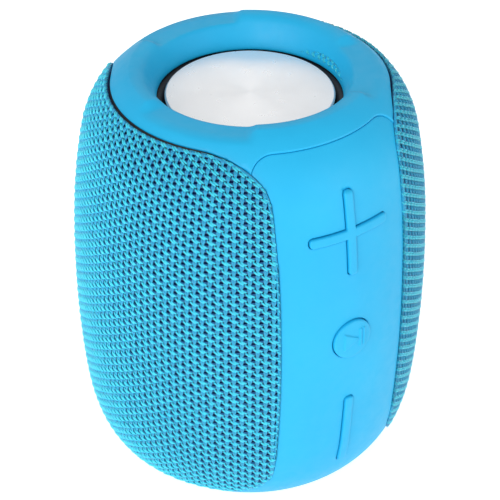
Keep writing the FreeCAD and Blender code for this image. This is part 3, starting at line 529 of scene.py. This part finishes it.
def strip_top(panel_radius, strip_radius, step):
    """Strip's top edge from where it meets the panel's round corner to the middle, as X-Z points.

    Also gives the direction of the meeting place from the panel corner's centre."""
    panel = (STRIP_HALF + SEAM + PANEL_TOP_CORNER, SEAM_TOP_Z - PANEL_TOP_CORNER)
    centre = (STRIP_TOP_HALF - STRIP_CORNER, SEAM_TOP_Z - STRIP_CORNER)
    apart = math.dist(panel, centre)
    towards = math.atan2(panel[1] - centre[1], panel[0] - centre[0])
    spread = math.acos((strip_radius ** 2 - panel_radius ** 2 + apart ** 2) / (2 * apart * strip_radius))
    start = math.degrees(towards + spread)
    arc = arc_points(centre, strip_radius, start, 90, step)
    meeting = math.degrees(math.atan2(arc[0][1] - panel[1], arc[0][0] - panel[0]))
    return arc + straight(arc[-1], (0, arc[-1][1]), step) + [(0, arc[-1][1])], panel, meeting


def ring_edge(gap, seam, step):
    """Lower edge of the top ring, gap away from the panels and seam away from the strips' line."""
    radius = PANEL_TOP_CORNER + gap
    top, centre, meeting = strip_top(radius, STRIP_CORNER + seam, step)
    edge = arc_points(centre, radius, 90, meeting, step)[:-1] + top
    return four_quarters(along_flat(edge[0][1], centre[0], step, RUBBER)[:-1] + from_front(edge, RUBBER))


def base_edge(gap, seam, step):
    """Upper edge of the base, which runs up round both strips."""
    low, low_r, top_r = PANEL_LOW_Z - gap, PANEL_LOW_CORNER + gap, PANEL_TOP_CORNER + gap
    near = STRIP_HALF + SEAM - gap
    corner = arc_points((near + low_r, low + low_r), low_r, 270, 180, step)
    top, centre, meeting = strip_top(top_r, STRIP_CORNER + seam, step)
    upper = arc_points(centre, top_r, 180, meeting, step)
    edge = corner + straight(corner[-1], upper[0], step) + upper[:-1] + top
    return four_quarters(along_flat(low, corner[0][0], step, RUBBER)[:-1] + from_front(edge, RUBBER))


def on_side(points, side):
    """X-Z points, anticlockwise from the front, as an (azimuth, arc length) loop on one side."""
    x, z = np.array(points).T
    loop = np.stack(seen(x, z, side, RUBBER), -1)
    return loop if side < 0 else loop[::-1]


def signed_area(loop):
    x, y = loop.T
    return 0.5 * np.sum(x * np.roll(y, -1) - np.roll(x, -1) * y)


# ---- skins ---------------------------------------------------------------------------------
RIM_TURNS = (22.5, 45.0, 67.5, 90.0)    # a rounded edge has a row of points at each of these
RIM_CLEAR = 0.93                        # a row keeps this share of its reach from every edge
GRID_CLEAR, BANK_CLEAR = 0.3, 0.4       # free strip between rim and inner points, in spacings
BEND_REACH, BEND_STEP, LEAST_STEP = 0.3, 6.5, 0.3     # mm looked each way, degrees to a step, mm


def levels(low, high, spacing):
    """Arc lengths to sample between low and high, closer together where the outline bends."""
    found, s = [], low
    while s < high:
        before, after = np.interp((s - BEND_REACH, s + BEND_REACH), *OUTLINE[:, (0, 3)].T)
        bend = abs(after - before) / (2 * BEND_REACH)
        s += min(spacing, max(LEAST_STEP, BEND_STEP / max(bend, 1e-3)))
        found.append(s)
    return np.array(found[:-1])


class Skin:
    """A layer of the barrel between two depths, with its outer edges rounded by rim.

    outer is a closed loop of (azimuth, arc length), or with wrap the pair of lines that bound a
    band right round the barrel, lower one first. holes are closed loops."""

    def __init__(self, outer, holes=(), wrap=False, rim=0.0, spacing=1.0, extra=(), outline=RUBBER):
        self.wrap, self.rim, self.outline = wrap, rim, outline
        reaches = [rim * (1 - turn(angle)[0]) for angle in RIM_TURNS] if rim else []
        if wrap:                         # cut open at azimuth 180, with the same points on both banks
            low, high = outer
            low, high = low[::1 if low[0, 0] < 0 else -1], high[::1 if high[0, 0] > 0 else -1]
            floor, ceiling = low[0, 1], high[0, 1]
            between = levels(floor + rim, ceiling - rim - BANK_CLEAR * spacing, spacing)
            bank = np.concatenate([floor + np.array(reaches), between, ceiling - np.array(reaches[::-1])])
            right, left = [np.stack([np.full(len(bank), az), bank], -1) for az in (math.pi, -math.pi)]
            parts, edges = [low, right, high, left[::-1]], [low, high]
        else:
            parts = edges = [outer if signed_area(outer) > 0 else outer[::-1]]
        holes = [loop if signed_area(loop) < 0 else loop[::-1] for loop in holes]
        self.border = np.vstack(parts + holes)
        pairs, start = [], 0
        for loop in [np.vstack(parts), *holes]:
            index = start + np.arange(len(loop))
            pairs.append(np.stack([index, np.roll(index, -1)], -1))
            start += len(loop)
        self.pairs = np.vstack(pairs)
        self.tree = self.edge_tree([(line, wrap) for line in edges] + [(loop, False) for loop in holes])
        points = []
        for line, wraps in [(line, wrap) for line in edges] + [(loop, False) for loop in holes]:
            inward = self.inward(line, wraps)
            for reach in reaches:
                row = (line + inward * reach)[slice(1, -1) if wraps else slice(None)]
                points.append(row[(self.distance(row) > RIM_CLEAR * reach) & self.inside(row)])
        lo, hi = self.border.min(0), self.border.max(0)
        grid, reach = [], spacing / BODY_RADIUS
        for i, s in enumerate(levels(lo[1], hi[1], spacing)):
            az = np.arange(lo[0] + reach * (0.75 + 0.5 * (i % 2)), hi[0] - 0.5 * reach, reach)
            grid.append(np.stack([az, np.full(len(az), s)], -1))
        grid = np.vstack(grid)
        points.append(grid[self.inside(grid) & (self.distance(grid) > rim + GRID_CLEAR * spacing)])
        points += [line[self.inside(line)] for line in extra]
        self.spots, self.faces = self.triangles(np.vstack([self.border, *points]))

    def inward(self, line, wraps):
        """Step in (azimuth, arc length) that goes 1 mm to the left of a line, at each of its points."""
        if wraps:
            steps = np.diff(line, axis=0)
            steps_on, steps_back = np.vstack([steps, steps[:1]]), np.vstack([steps[-1:], steps])
        else:
            steps_on = np.roll(line, -1, 0) - line
            steps_back = np.roll(steps_on, 1, 0)
        metric = np.stack([radius_of(line[:, 1], self.outline), np.ones(len(line))], -1)
        along = [steps * metric for steps in (steps_on, steps_back)]
        tangent = sum(step / np.linalg.norm(step, axis=1, keepdims=True) for step in along)
        tangent /= np.linalg.norm(tangent, axis=1, keepdims=True)
        return np.stack([-tangent[:, 1], tangent[:, 0]], -1) / metric

    def edge_tree(self, lines):
        """Search tree of points close together along the edges."""
        dense = []
        for line, wraps in lines:
            ends = np.stack([line[:-1], line[1:]], 1) if wraps else np.stack([line, np.roll(line, -1, 0)], 1)
            steps = np.linspace(0, 1, 6)[:-1]
            dense.append((ends[:, :1] + (ends[:, 1:] - ends[:, :1]) * steps[None, :, None]).reshape(-1, 2))
        dense = np.vstack(dense)
        tree = KDTree(len(dense))
        for i, point in enumerate(self.places(dense, 0.0)):
            tree.insert(point, i)
        tree.balance()
        return tree

    def places(self, points, depth):
        """Where (azimuth, arc length) points are at a depth in this skin's outline."""
        return surface(points[:, 0], points[:, 1], depth, self.outline)

    def distance(self, points):
        """How far points are from the skin's edges, in a straight line."""
        return np.array([self.tree.find(place)[2] for place in self.places(points, 0.0)])

    def inside(self, points):
        """Which points are within the border and outside the holes, by counting crossings."""
        x, y = points.T
        within = np.zeros(len(points), bool)
        for (x0, y0), (x1, y1) in self.border[self.pairs]:
            if y0 != y1:
                within ^= ((y0 > y) != (y1 > y)) & (x < x0 + (y - y0) * (x1 - x0) / (y1 - y0))
        return within

    def triangles(self, points):
        """The border and the inner points as one flat net."""
        scale = np.array([BODY_RADIUS, 1.0])
        pairs = [tuple(map(int, pair)) for pair in self.pairs]
        flat, _, faces, *_ = delaunay_2d_cdt([Vector(p) for p in points * scale], pairs, [], 0, 1e-5)
        spots, faces = np.array([list(p) for p in flat]) / scale, np.array(faces, int)
        faces = faces[self.inside(spots[faces].mean(1))]
        if self.wrap:                    # join the two banks of the cut
            left, right = [np.flatnonzero(np.abs(spots[:, 0] - az) < 1e-6) for az in (-math.pi, math.pi)]
            swap = np.arange(len(spots))
            swap[right[np.argsort(spots[right, 1])]] = left[np.argsort(spots[left, 1])]
            faces = swap[faces]
        used, faces = np.unique(faces, return_inverse=True)
        return spots[used], faces.reshape(-1, 3)

    def solid(self, outer_depth, inner_depth, relief=None, shape=None):
        """Vertices and triangles of the closed layer between two depths."""
        spots, faces, count = self.spots, self.faces, len(self.spots)
        near = np.clip(self.rim - self.distance(spots), 0, None)
        sunk = self.rim - np.sqrt(self.rim ** 2 - near ** 2)
        top = self.places(spots, outer_depth + sunk - (relief(spots) if relief else 0))
        low = self.places(spots, inner_depth)
        if shape:
            top, low = shape(top), shape(low)
        edges = np.vstack([faces[:, [0, 1]], faces[:, [1, 2]], faces[:, [2, 0]]])
        codes = edges[:, 0] * count + edges[:, 1]
        a, b = edges[~np.isin(codes, edges[:, 1] * count + edges[:, 0])].T
        walls = np.vstack([np.stack([b, a, a + count], -1), np.stack([b, a + count, b + count], -1)])
        return np.vstack([top, low]), np.vstack([faces, faces[:, ::-1] + count, walls])


# ---- cloth ---------------------------------------------------------------------------------
PITCH_ACROSS = 3.84 / BODY_RADIUS      # radians between like columns
PITCH_UP = 2.44                        # along the arc
COLUMNS, ROWS = 28, 30                 # tried each way from the middle of a panel
UNEVEN, SWELL, LIFT = 0.03, 0.04, 0.02           # how much units differ in place, width and depth
OVERHANG = 0.9                         # units this far past a panel's edge are still laid
TUBE_SIDES = 5
BACKING_DEPTH, BACKING_INSET, BACKING_STEP, BACKING_SPACING = (0.95, 1.05), 0.05, 1.2, 2.0
EDGE_GAP, EDGE_WIDTH, EDGE_DROP = -0.06, 0.5, 0.2      # how the cloth turns in along its edge
PROUD = 0.45             # how far the yarn stands out from its own outline


def panel_distance(az, s, side):
    """Distance inside a panel's edge, and the step in (azimuth, arc length) that goes 1 mm inwards."""
    place = surface(az, s, 0.0)
    x, z = side * place[:, 0], place[:, 2]
    near, low, high = STRIP_HALF + SEAM, PANEL_LOW_Z, SEAM_TOP_Z
    to_side, to_low, to_top = x - near, z - low, high - z
    gap = np.minimum(to_side, np.minimum(to_low, to_top))
    push = np.stack([to_side == gap, np.where(to_top == gap, -1.0, 1.0) * (to_side != gap)], -1).astype(float)
    for to_end, radius, up in ((to_top, PANEL_TOP_CORNER, -1.0), (to_low, PANEL_LOW_CORNER, 1.0)):
        corner = (to_side < radius) & (to_end < radius)
        across, along = radius - to_side, radius - to_end
        reach = np.hypot(across, along) + 1e-9
        gap = np.where(corner, radius - reach, gap)
        inward = np.stack([across / reach, up * along / reach], -1)
        push = np.where(corner[:, None], inward, push)
    angle = np.radians(np.interp(s, OUTLINE[:, 0], OUTLINE[:, 3]))
    # The push is in the X-Z plane; on the surface it is longer where the surface leans.
    east = side * push[:, 0] * -np.sin(az)
    north = side * push[:, 0] * np.cos(az) * -np.sin(angle) + push[:, 1] * np.cos(angle)
    size = np.hypot(east, north) + 1e-9
    step = np.stack([east / size / radius_of(s), north / size], -1)
    return gap / size, step


def tube(path, width, height):
    """Yarn along (right, up, depth) points: local vertices, triangles and (along, round) per vertex."""
    path = np.array(path, float)
    tangent = np.gradient(path[:, :2], axis=0)
    tangent /= np.linalg.norm(tangent, axis=1, keepdims=True)
    across = np.stack([tangent[:, 1], -tangent[:, 0]], -1)
    length = np.concatenate([[0], np.cumsum(np.linalg.norm(np.diff(path, axis=0), axis=1))])
    verts, uv = [], []
    for i, point in enumerate(path):
        thin = 0.72 if i in (0, len(path) - 1) else 1.0
        for k in range(TUBE_SIDES):
            c, d = turn(360 * k / TUBE_SIDES + 90)
            verts.append((*(point[:2] + across[i] * c * width * thin), point[2] - d * height * thin))
            uv.append((length[i], width * 2 * math.pi * k / TUBE_SIDES))
    faces, last = [], (len(path) - 1) * TUBE_SIDES
    for i in range(len(path) - 1):
        for k in range(TUBE_SIDES):
            a, b = i * TUBE_SIDES + k, i * TUBE_SIDES + (k + 1) % TUBE_SIDES
            faces += [(a, b, b + TUBE_SIDES), (a, b + TUBE_SIDES, a + TUBE_SIDES)]
    for k in range(1, TUBE_SIDES - 1):
        faces += [(0, k + 1, k), (last, last + k, last + k + 1)]
    return np.array(verts), np.array(faces), np.array(uv)


def join(*tubes):
    return *stacked(tubes), np.vstack([uv for _, _, uv in tubes])


# One unit of the weave, as (right, up, depth) points in millimetres round its own centre. Two
# bright yarns come up out of the cloth at the upper left and go in again at the lower right, and
# a pair of yarns comes out from under them and draws together down to the next unit.
STRANDS = (
    (((-1.12, 0.60, 0.75), (-0.88, 0.42, 0.40), (-0.48, 0.15, 0.26), (-0.02, -0.17, 0.27),
      (0.36, -0.46, 0.42), (0.56, -0.64, 0.75)), 0.27, 0.27),
    (((-0.42, 0.66, 0.75), (-0.14, 0.47, 0.42), (0.22, 0.26, 0.28), (0.66, 0.02, 0.28),
      (1.04, -0.20, 0.42), (1.26, -0.36, 0.75)), 0.24, 0.24),
)
STEMS = (
    (((-0.36, -0.30, 0.62), (-0.34, -0.72, 0.42), (-0.27, -1.20, 0.38), (-0.15, -1.68, 0.48),
      (-0.10, -2.05, 0.80)), 0.28, 0.24),
    (((0.24, -0.35, 0.62), (0.22, -0.78, 0.42), (0.16, -1.22, 0.38), (0.05, -1.66, 0.48),
      (0.00, -2.05, 0.80)), 0.28, 0.24),
)
YARNS = {
    "strands_left": (tube(*STRANDS[0]), STRAND),
    "strands_right": (tube(*STRANDS[1]), STRAND),
    "stems": (join(*[tube(*stem) for stem in STEMS]), STEM),
}
WEFT_HALF, WEFT_HEIGHT, WEFT_DEPTH = 0.34, 0.16, 0.66
WEFT_UP = -1.06          # where a weft yarn lies, from a unit's centre
WEFT_REACH, WEFT_STEP, WEFT_OVERHANG = math.radians(67), 1.1, 0.2
HEM_INSET, HEM_HALF, HEM_HEIGHT, HEM_DEPTH, HEM_STEP = 0.3, 0.36, 0.55, 0.4, 0.8


def cloth_units(side, random):
    """Centres of the weave's units on one panel, as (azimuth, arc length).

    A panel's ends are tested by height alone, so units past the crests, in the wells, are kept too."""
    middle = 0.0 if side > 0 else math.pi
    columns, rows = np.arange(-COLUMNS, COLUMNS + 1), np.arange(-ROWS, ROWS + 1)
    column, row = [g.ravel() for g in np.meshgrid(columns, rows)]
    az = middle + column * PITCH_ACROSS / 2
    s = (row + 0.5 * (column % 2)) * PITCH_UP
    inside = (s > OUTLINE[0, 0]) & (s < OUTLINE[-1, 0])
    az, s = az[inside], s[inside]
    gap, _ = panel_distance(az, s, side)
    keep = gap > -OVERHANG
    az, s = az[keep], s[keep]
    return az + random.normal(0, UNEVEN, len(az)) / BODY_RADIUS, s + random.normal(0, UNEVEN, len(s))


def tuck(az, s, depth, side):
    """Keeps cloth inside its panel and turns it down into the seam along the edge."""
    for _ in range(2):
        gap, step = panel_distance(az, s, side)
        short = np.clip(EDGE_GAP - gap, 0, None)
        az, s = az + short * step[:, 0], s + short * step[:, 1]
    blend = np.clip(gap / EDGE_WIDTH, 0, 1)
    return surface(az, s, depth - PROUD + EDGE_DROP * (1 - smooth(blend)))


def cloth_piece(name, places, faces, uv, material):
    """Yarn with its lengthwise and round measures kept as UV."""
    obj = new_object(name, places, faces, "case", "cloth", material)
    layer = obj.data.uv_layers.new(name="UVMap")
    loop_verts = np.empty(len(obj.data.loops), np.int32)
    obj.data.loops.foreach_get("vertex_index", loop_verts)
    layer.data.foreach_set("uv", uv[loop_verts].astype(np.float32).ravel())
    return obj


def lay_yarn(name, side, units, template, material, random):
    """One piece of yarn in every unit of the weave."""
    verts, faces, uv = template
    az0, s0 = units
    count, size = len(az0), len(verts)
    swell = 1 + random.normal(0, SWELL, (count, 1))
    lift = random.normal(0, LIFT, (count, 1))
    az = (az0[:, None] + verts[None, :, 0] * swell / BODY_RADIUS).ravel()
    s = (s0[:, None] + verts[None, :, 1]).ravel()
    depth = (verts[None, :, 2] + lift).ravel()
    faces = (faces[None] + (np.arange(count) * size)[:, None, None]).reshape(-1, 3)
    uv = np.tile(uv, (count, 1)) + np.repeat(random.uniform(0, 3, count), size)[:, None]
    return cloth_piece(name, tuck(az, s, depth, side), faces, uv, material)


def lay_weft(name, side, material):
    """Level yarns behind the units, one for each half row."""
    middle = 0.0 if side > 0 else math.pi
    lines = []
    path_az = np.linspace(-WEFT_REACH, WEFT_REACH, int(2 * WEFT_REACH * BODY_RADIUS / WEFT_STEP))
    for row in range(-2 * ROWS, 2 * ROWS + 1):
        s = row * PITCH_UP / 2 + WEFT_UP
        gap, _ = panel_distance(middle + path_az, np.full(len(path_az), s), side)
        within = np.flatnonzero(gap > -WEFT_OVERHANG)
        if len(within) < 4:
            continue
        path = [(middle * BODY_RADIUS + az * BODY_RADIUS, s, WEFT_DEPTH) for az in path_az[within]]
        lines.append(tube(path, WEFT_HALF, WEFT_HEIGHT))
    verts, faces, uv = join(*lines)
    places = tuck(verts[:, 0] / BODY_RADIUS, verts[:, 1], verts[:, 2], side)
    return cloth_piece(name, places, faces, uv, material)


def lay_hem(name, side, material):
    """Yarn along the panel's edge, where the cloth folds in beside the silicone."""
    loop = np.array(panel_loop(side, -HEM_INSET, HEM_STEP))
    closed = np.vstack([loop, loop[:1]])
    path = [(az * BODY_RADIUS, s, HEM_DEPTH) for az, s in closed]
    verts, faces, uv = tube(path, HEM_HALF, HEM_HEIGHT)
    places = surface(verts[:, 0] / BODY_RADIUS, verts[:, 1], verts[:, 2])
    return cloth_piece(name, places, faces, uv, material)


def make_cloth(side, flank):
    """One panel: its yarns, and the backing sheet that they go with."""
    random = np.random.default_rng(11 if side < 0 else 12)
    units = cloth_units(side, random)
    yarns = [lay_yarn(f"{flank}_cloth_{name}", side, units, template, material, random)
             for name, (template, material) in YARNS.items()]
    yarns.append(lay_weft(f"{flank}_cloth_weft", side, WEFT_PAINTED_SHADE))
    yarns.append(lay_hem(f"{flank}_cloth_hem", side, STEM))
    layer = Skin(panel_loop(side, -BACKING_INSET, BACKING_STEP), spacing=BACKING_SPACING, outline=OUTLINE)
    backing = new_object(f"{flank}_cloth_backing", *layer.solid(*BACKING_DEPTH), "case", "cloth", BACKING)
    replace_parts(backing, f"{flank}_cloth_panel")


for side, flank in ((-1, "left"), (1, "right")):
    make_cloth(side, flank)


# ---- silicone ring, base and strips, keys -----------------------------------------------------
RING_DEPTH, STRIP_DEPTH = (0.0, 3.0), (0.35, 3.0)
RING_RIM, STRIP_RIM, KEY_RIM = 0.45, 0.3, 0.45         # how far each edge is rounded
DENT_DEPTH, DENT_HALF_ANGLE, DENT_BLEND = 1.65, 27.0, 3.2
DENT_SOFT, DENT_STEP = 0.2, 120      # rounding of a dent's floor in mm, degrees from dent to dent
PLAY_Z, KEY_STEP = 56.6, 30.0
CROSS_LENGTH, BAR_LENGTH, BAR_WIDTH, BAR_CORNER = 22.0, 22.7, 2.4, 0.9
ROUND_KEY, KEY_PROUD = 5.4, 0.35
RUBBER_GAP = 0.08                    # silicone's edge to a panel's
RUBBER_SEAM = (0.09, 0.06)           # ring's and strip's edges, outwards from the strip's top line
LINE_GAP = 0.18                      # round a key
KEY_DEPTH, FLANGE_RIM, FLANGE_DEPTH = 3.15, 0.9, (3.15, 4.05)
LIGHT_Z, LIGHT_HOLE = 71.6, 1.15
MICROPHONE_Z, MICROPHONE_HOLE = 66.1, 0.5
ICON_TRIANGLE, ICON_BARS, ICON_BAR_HALF = (-2.7, 1.5, 2.5), ((1.75, 2.4), (2.75, 3.4)), 2.6
ICON_HEIGHT, ICON_EDGE, ICON_GRID = 0.4, 0.32, 0.14
ICON_REACH = ((-3.3, 3.8), (-3.3, 3.3))      # across and up, from the key's middle
FLAP_HALF, FLAP_Z, FLAP_CORNER, FLAP_GAP = 13.5, (15.5, 31.0), 4.0, 0.3
EDGE_STEP, HOLE_STEP, CAP_STEP, LIGHT_STEP, MICROPHONE_STEP = 0.5, 0.35, 0.3, 0.3, 0.2
CAP_SPACING, FLANGE_SPACING, LIP_POINTS = 0.6, 1.5, 400


def dented(places):
    """Three shallow flats in a crest let air out from under that end."""
    places = places.copy()
    angle = np.degrees(np.arctan2(places[:, 1], places[:, 0])) + 90
    away = np.abs(angle % DENT_STEP - DENT_STEP / 2)
    edge = np.clip((DENT_HALF_ANGLE + DENT_BLEND - away) / (2 * DENT_BLEND), 0, 1)
    weight = smooth(edge)
    for sign, level in ((1, HEIGHT - DENT_DEPTH), (-1, -DENT_DEPTH)):
        above = sign * places[:, 2] - level
        flat = -DENT_SOFT * np.logaddexp(0, -above / DENT_SOFT)
        places[:, 2] += sign * weight * (flat - above) * (above > -4 * DENT_SOFT)
    return places


def cross_loop(z, length, width, grow, step):
    """Two bars with rounded ends that cross at the middle."""
    half, tip, corner = width / 2 + grow, length / 2 + grow, BAR_CORNER + grow
    right = arc_points((half - corner, tip - corner), corner, 0, 90, step)
    left = arc_points((corner - half, tip - corner), corner, 90, 180, step)
    arm = (straight((half, half), right[0], step) + right + straight(right[-1], left[0], step) + left
           + straight(left[-1], (-half, half), step) + [(-half, half)])
    points = []
    for quarter in range(4):
        c, d = turn(90 * quarter)
        points += [(c * x - d * y, z + d * x + c * y) for x, y in arm]
    return points


def round_loop(z, radius, step):
    return arc_points((0, z), radius, 0, 360, step)[:-1]


def window_loop(half, low, high, corner, step):
    """Upright rectangle with round corners, anticlockwise from its right side."""
    corners = [((half - corner, high - corner), 0), ((corner - half, high - corner), 90),
               ((corner - half, low + corner), 180), ((half - corner, low + corner), 270)]
    points = []
    for centre, start in corners:
        arc = arc_points(centre, corner, start, start + 90, step)
        points += (straight(points[-1], arc[0], step) if points else []) + arc
    return points + straight(points[-1], points[0], step)


def flap_outline(grow, step):
    return window_loop(FLAP_HALF + grow, FLAP_Z[0] - grow, FLAP_Z[1] + grow, FLAP_CORNER + grow, step)


def key_outline(name, grow, step):
    if name == "volume_up_key":
        return cross_loop(PLAY_Z + KEY_STEP, CROSS_LENGTH, BAR_WIDTH, grow, step)
    if name == "volume_down_key":
        z, tall = PLAY_Z - KEY_STEP, BAR_LENGTH / 2 + grow
        return window_loop(BAR_WIDTH / 2 + grow, z - tall, z + tall, BAR_CORNER + grow, step)
    return round_loop(PLAY_Z + KEY_STEP * (name == "power_key"), ROUND_KEY + grow, step)


# Key: its body, and the side it is on (-1 front, 1 back)
KEYS = {"volume_up_key": ("volume_up", -1), "play_pause_key": ("play_pause", -1),
        "volume_down_key": ("volume_down", -1), "power_key": ("power", 1), "pairing_key": ("pairing", 1)}


def icon_points(side):
    """Fine grid over the play key's raised sign."""
    x, z = [g.ravel() for g in np.meshgrid(*[np.arange(*ends, ICON_GRID) for ends in ICON_REACH])]
    return np.stack(seen(x, PLAY_Z + z, side, RUBBER), -1)


def icon_relief(spots):
    """Height of the play key's sign: a triangle that points right, and two upright bars."""
    places = surface(spots[:, 0], spots[:, 1], 0.0, RUBBER)
    x, z = places[:, 0], np.abs(places[:, 2] - PLAY_Z)
    left, tip, half = ICON_TRIANGLE
    slope = math.hypot(half, tip - left)
    inside = np.minimum(x - left, ((tip - x) * half - z * (tip - left)) / slope)
    for start, end in ICON_BARS:
        inside = np.maximum(inside, np.minimum(np.minimum(x - start, end - x), ICON_BAR_HALF - z))
    return ICON_HEIGHT * smooth(np.clip(inside / ICON_EDGE + 0.5, 0, 1))


def silicone_piece(name, parts, body, *nodes):
    """One piece from several closed layers, in place of CAD nodes."""
    obj = new_object(name, *stacked(parts), body, "silicone", SILICONE)
    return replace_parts(obj, *nodes)


def make_case_silicone():
    """The top ring, and the base with both strips and their openings."""
    band = np.linspace(-math.pi, math.pi, LIP_POINTS)
    lip_top, lip_low = [np.stack([band, np.full(len(band), s)], -1) for s in (S_TOP, S_LOW)]
    ring = Skin((ring_edge(RUBBER_GAP, RUBBER_SEAM[0], EDGE_STEP), lip_top), wrap=True, rim=RING_RIM)
    silicone_piece("top_ring_skin", [ring.solid(*RING_DEPTH, shape=dented)], "case", "top_silicone_ring")

    holes = [on_side(key_outline(name, LINE_GAP, HOLE_STEP), side) for name, (_, side) in KEYS.items()]
    holes.append(on_side(round_loop(LIGHT_Z, LIGHT_HOLE, LIGHT_STEP), 1))
    holes.append(on_side(round_loop(MICROPHONE_Z, MICROPHONE_HOLE, MICROPHONE_STEP), 1))
    holes.append(on_side(flap_outline(FLAP_GAP, EDGE_STEP), 1))
    base = Skin((lip_low, base_edge(RUBBER_GAP, RUBBER_SEAM[1], EDGE_STEP)), holes, wrap=True, rim=STRIP_RIM)
    silicone_piece("base_and_strips_skin", [base.solid(*STRIP_DEPTH, shape=dented)], "case",
                   "silicone_base_and_strips")


def make_keys():
    """Each key: a raised cap, and the flange that keeps it in behind the strip."""
    for name, (body, side) in KEYS.items():
        icon = [icon_points(side)] if name == "play_pause_key" else []
        outline = on_side(key_outline(name, 0.0, CAP_STEP), side)
        cap = Skin(outline, rim=KEY_RIM, spacing=CAP_SPACING, extra=icon)
        flange = Skin(on_side(key_outline(name, FLANGE_RIM, EDGE_STEP), side), spacing=FLANGE_SPACING)
        face = cap.solid(-KEY_PROUD, KEY_DEPTH, relief=icon_relief if icon else None)
        silicone_piece(name + "_skin", [face, flange.solid(*FLANGE_DEPTH)], body, name)


make_case_silicone()
make_keys()


# ---- stage ---------------------------------------------------------------------------------
CAMERA_AZIMUTH, CAMERA_ELEVATION, CAMERA_DISTANCE = -33.75, 35.53, 0.450
CAMERA_AIM = Vector((0, 0, 55.9 * MM))
FOCAL, SENSOR, SHIFT_UP = 124.2, 36.0, 0.0036
CLIP = (0.01, 50)
FLOOR_SIZE, FLOOR_GREY, FLOOR_GLOW = 12, (0.61, 0.63), 0.75
WORLD_GLOW = 0.55

# Soft box: azimuth, elevation, distance in m, width and height in m, power in W
BOXES = {
    "front_box": (-60, 25, 1.2, (0.7, 0.7), 8.0),
    "right_box": (25, 12, 1.3, (0.8, 1.0), 4.5),
    "rear_box": (147, 38, 1.5, (2.2, 1.0), 3.6),
}


def look_from(obj, azimuth, elevation, distance):
    """Puts a camera or lamp round the barrel's middle, looking at it. Azimuth 0 is in front."""
    a, e = math.radians(azimuth), math.radians(elevation)
    back = Vector((math.sin(a) * math.cos(e), -math.cos(a) * math.cos(e), math.sin(e)))
    obj.location = CAMERA_AIM + back * distance
    obj.rotation_euler = (-back).to_track_quat("-Z", "Y").to_euler()
    bpy.context.scene.collection.objects.link(obj)


def make_camera():
    data = bpy.data.cameras.new("camera")
    data.lens, data.sensor_width, data.shift_y = FOCAL, SENSOR, SHIFT_UP
    data.clip_start, data.clip_end = CLIP
    camera = bpy.data.objects.new("camera", data)
    look_from(camera, CAMERA_AZIMUTH, CAMERA_ELEVATION, CAMERA_DISTANCE)
    bpy.context.scene.camera = camera


def soft_box(name, azimuth, elevation, distance, size, power):
    data = bpy.data.lights.new(name, "AREA")
    data.shape, data.size, data.size_y = "RECTANGLE", *size
    data.energy = power
    look_from(bpy.data.objects.new(name, data), azimuth, elevation, distance)


def make_floor():
    bpy.ops.mesh.primitive_plane_add(size=FLOOR_SIZE, location=(0, 0, 0))
    floor = bpy.context.object
    floor.name = "floor"
    darker, lighter = FLOOR_GREY
    s = Shader("floor_paper", (darker,) * 3, 0.95)
    s.colour(s.ramp(s.noise(0.02, 3.0), (0.3, darker), (0.7, lighter)))
    s.bsdf.inputs["Emission Color"].default_value = (1, 1, 1, 1)
    s.bsdf.inputs["Emission Strength"].default_value = FLOOR_GLOW
    floor.data.materials.append(s.material)


def make_world(brightness):
    world = bpy.data.worlds.new("studio")
    world.use_nodes = True
    background = world.node_tree.nodes["Background"]
    background.inputs["Color"].default_value = (1, 1, 1, 1)
    background.inputs["Strength"].default_value = brightness
    bpy.context.scene.world = world


bpy.context.scene.view_settings.view_transform = "Standard"
bpy.context.scene.view_settings.look = "None"
make_camera()
make_floor()
make_world(WORLD_GLOW)
for name, setting in BOXES.items():
    soft_box(name, *setting)
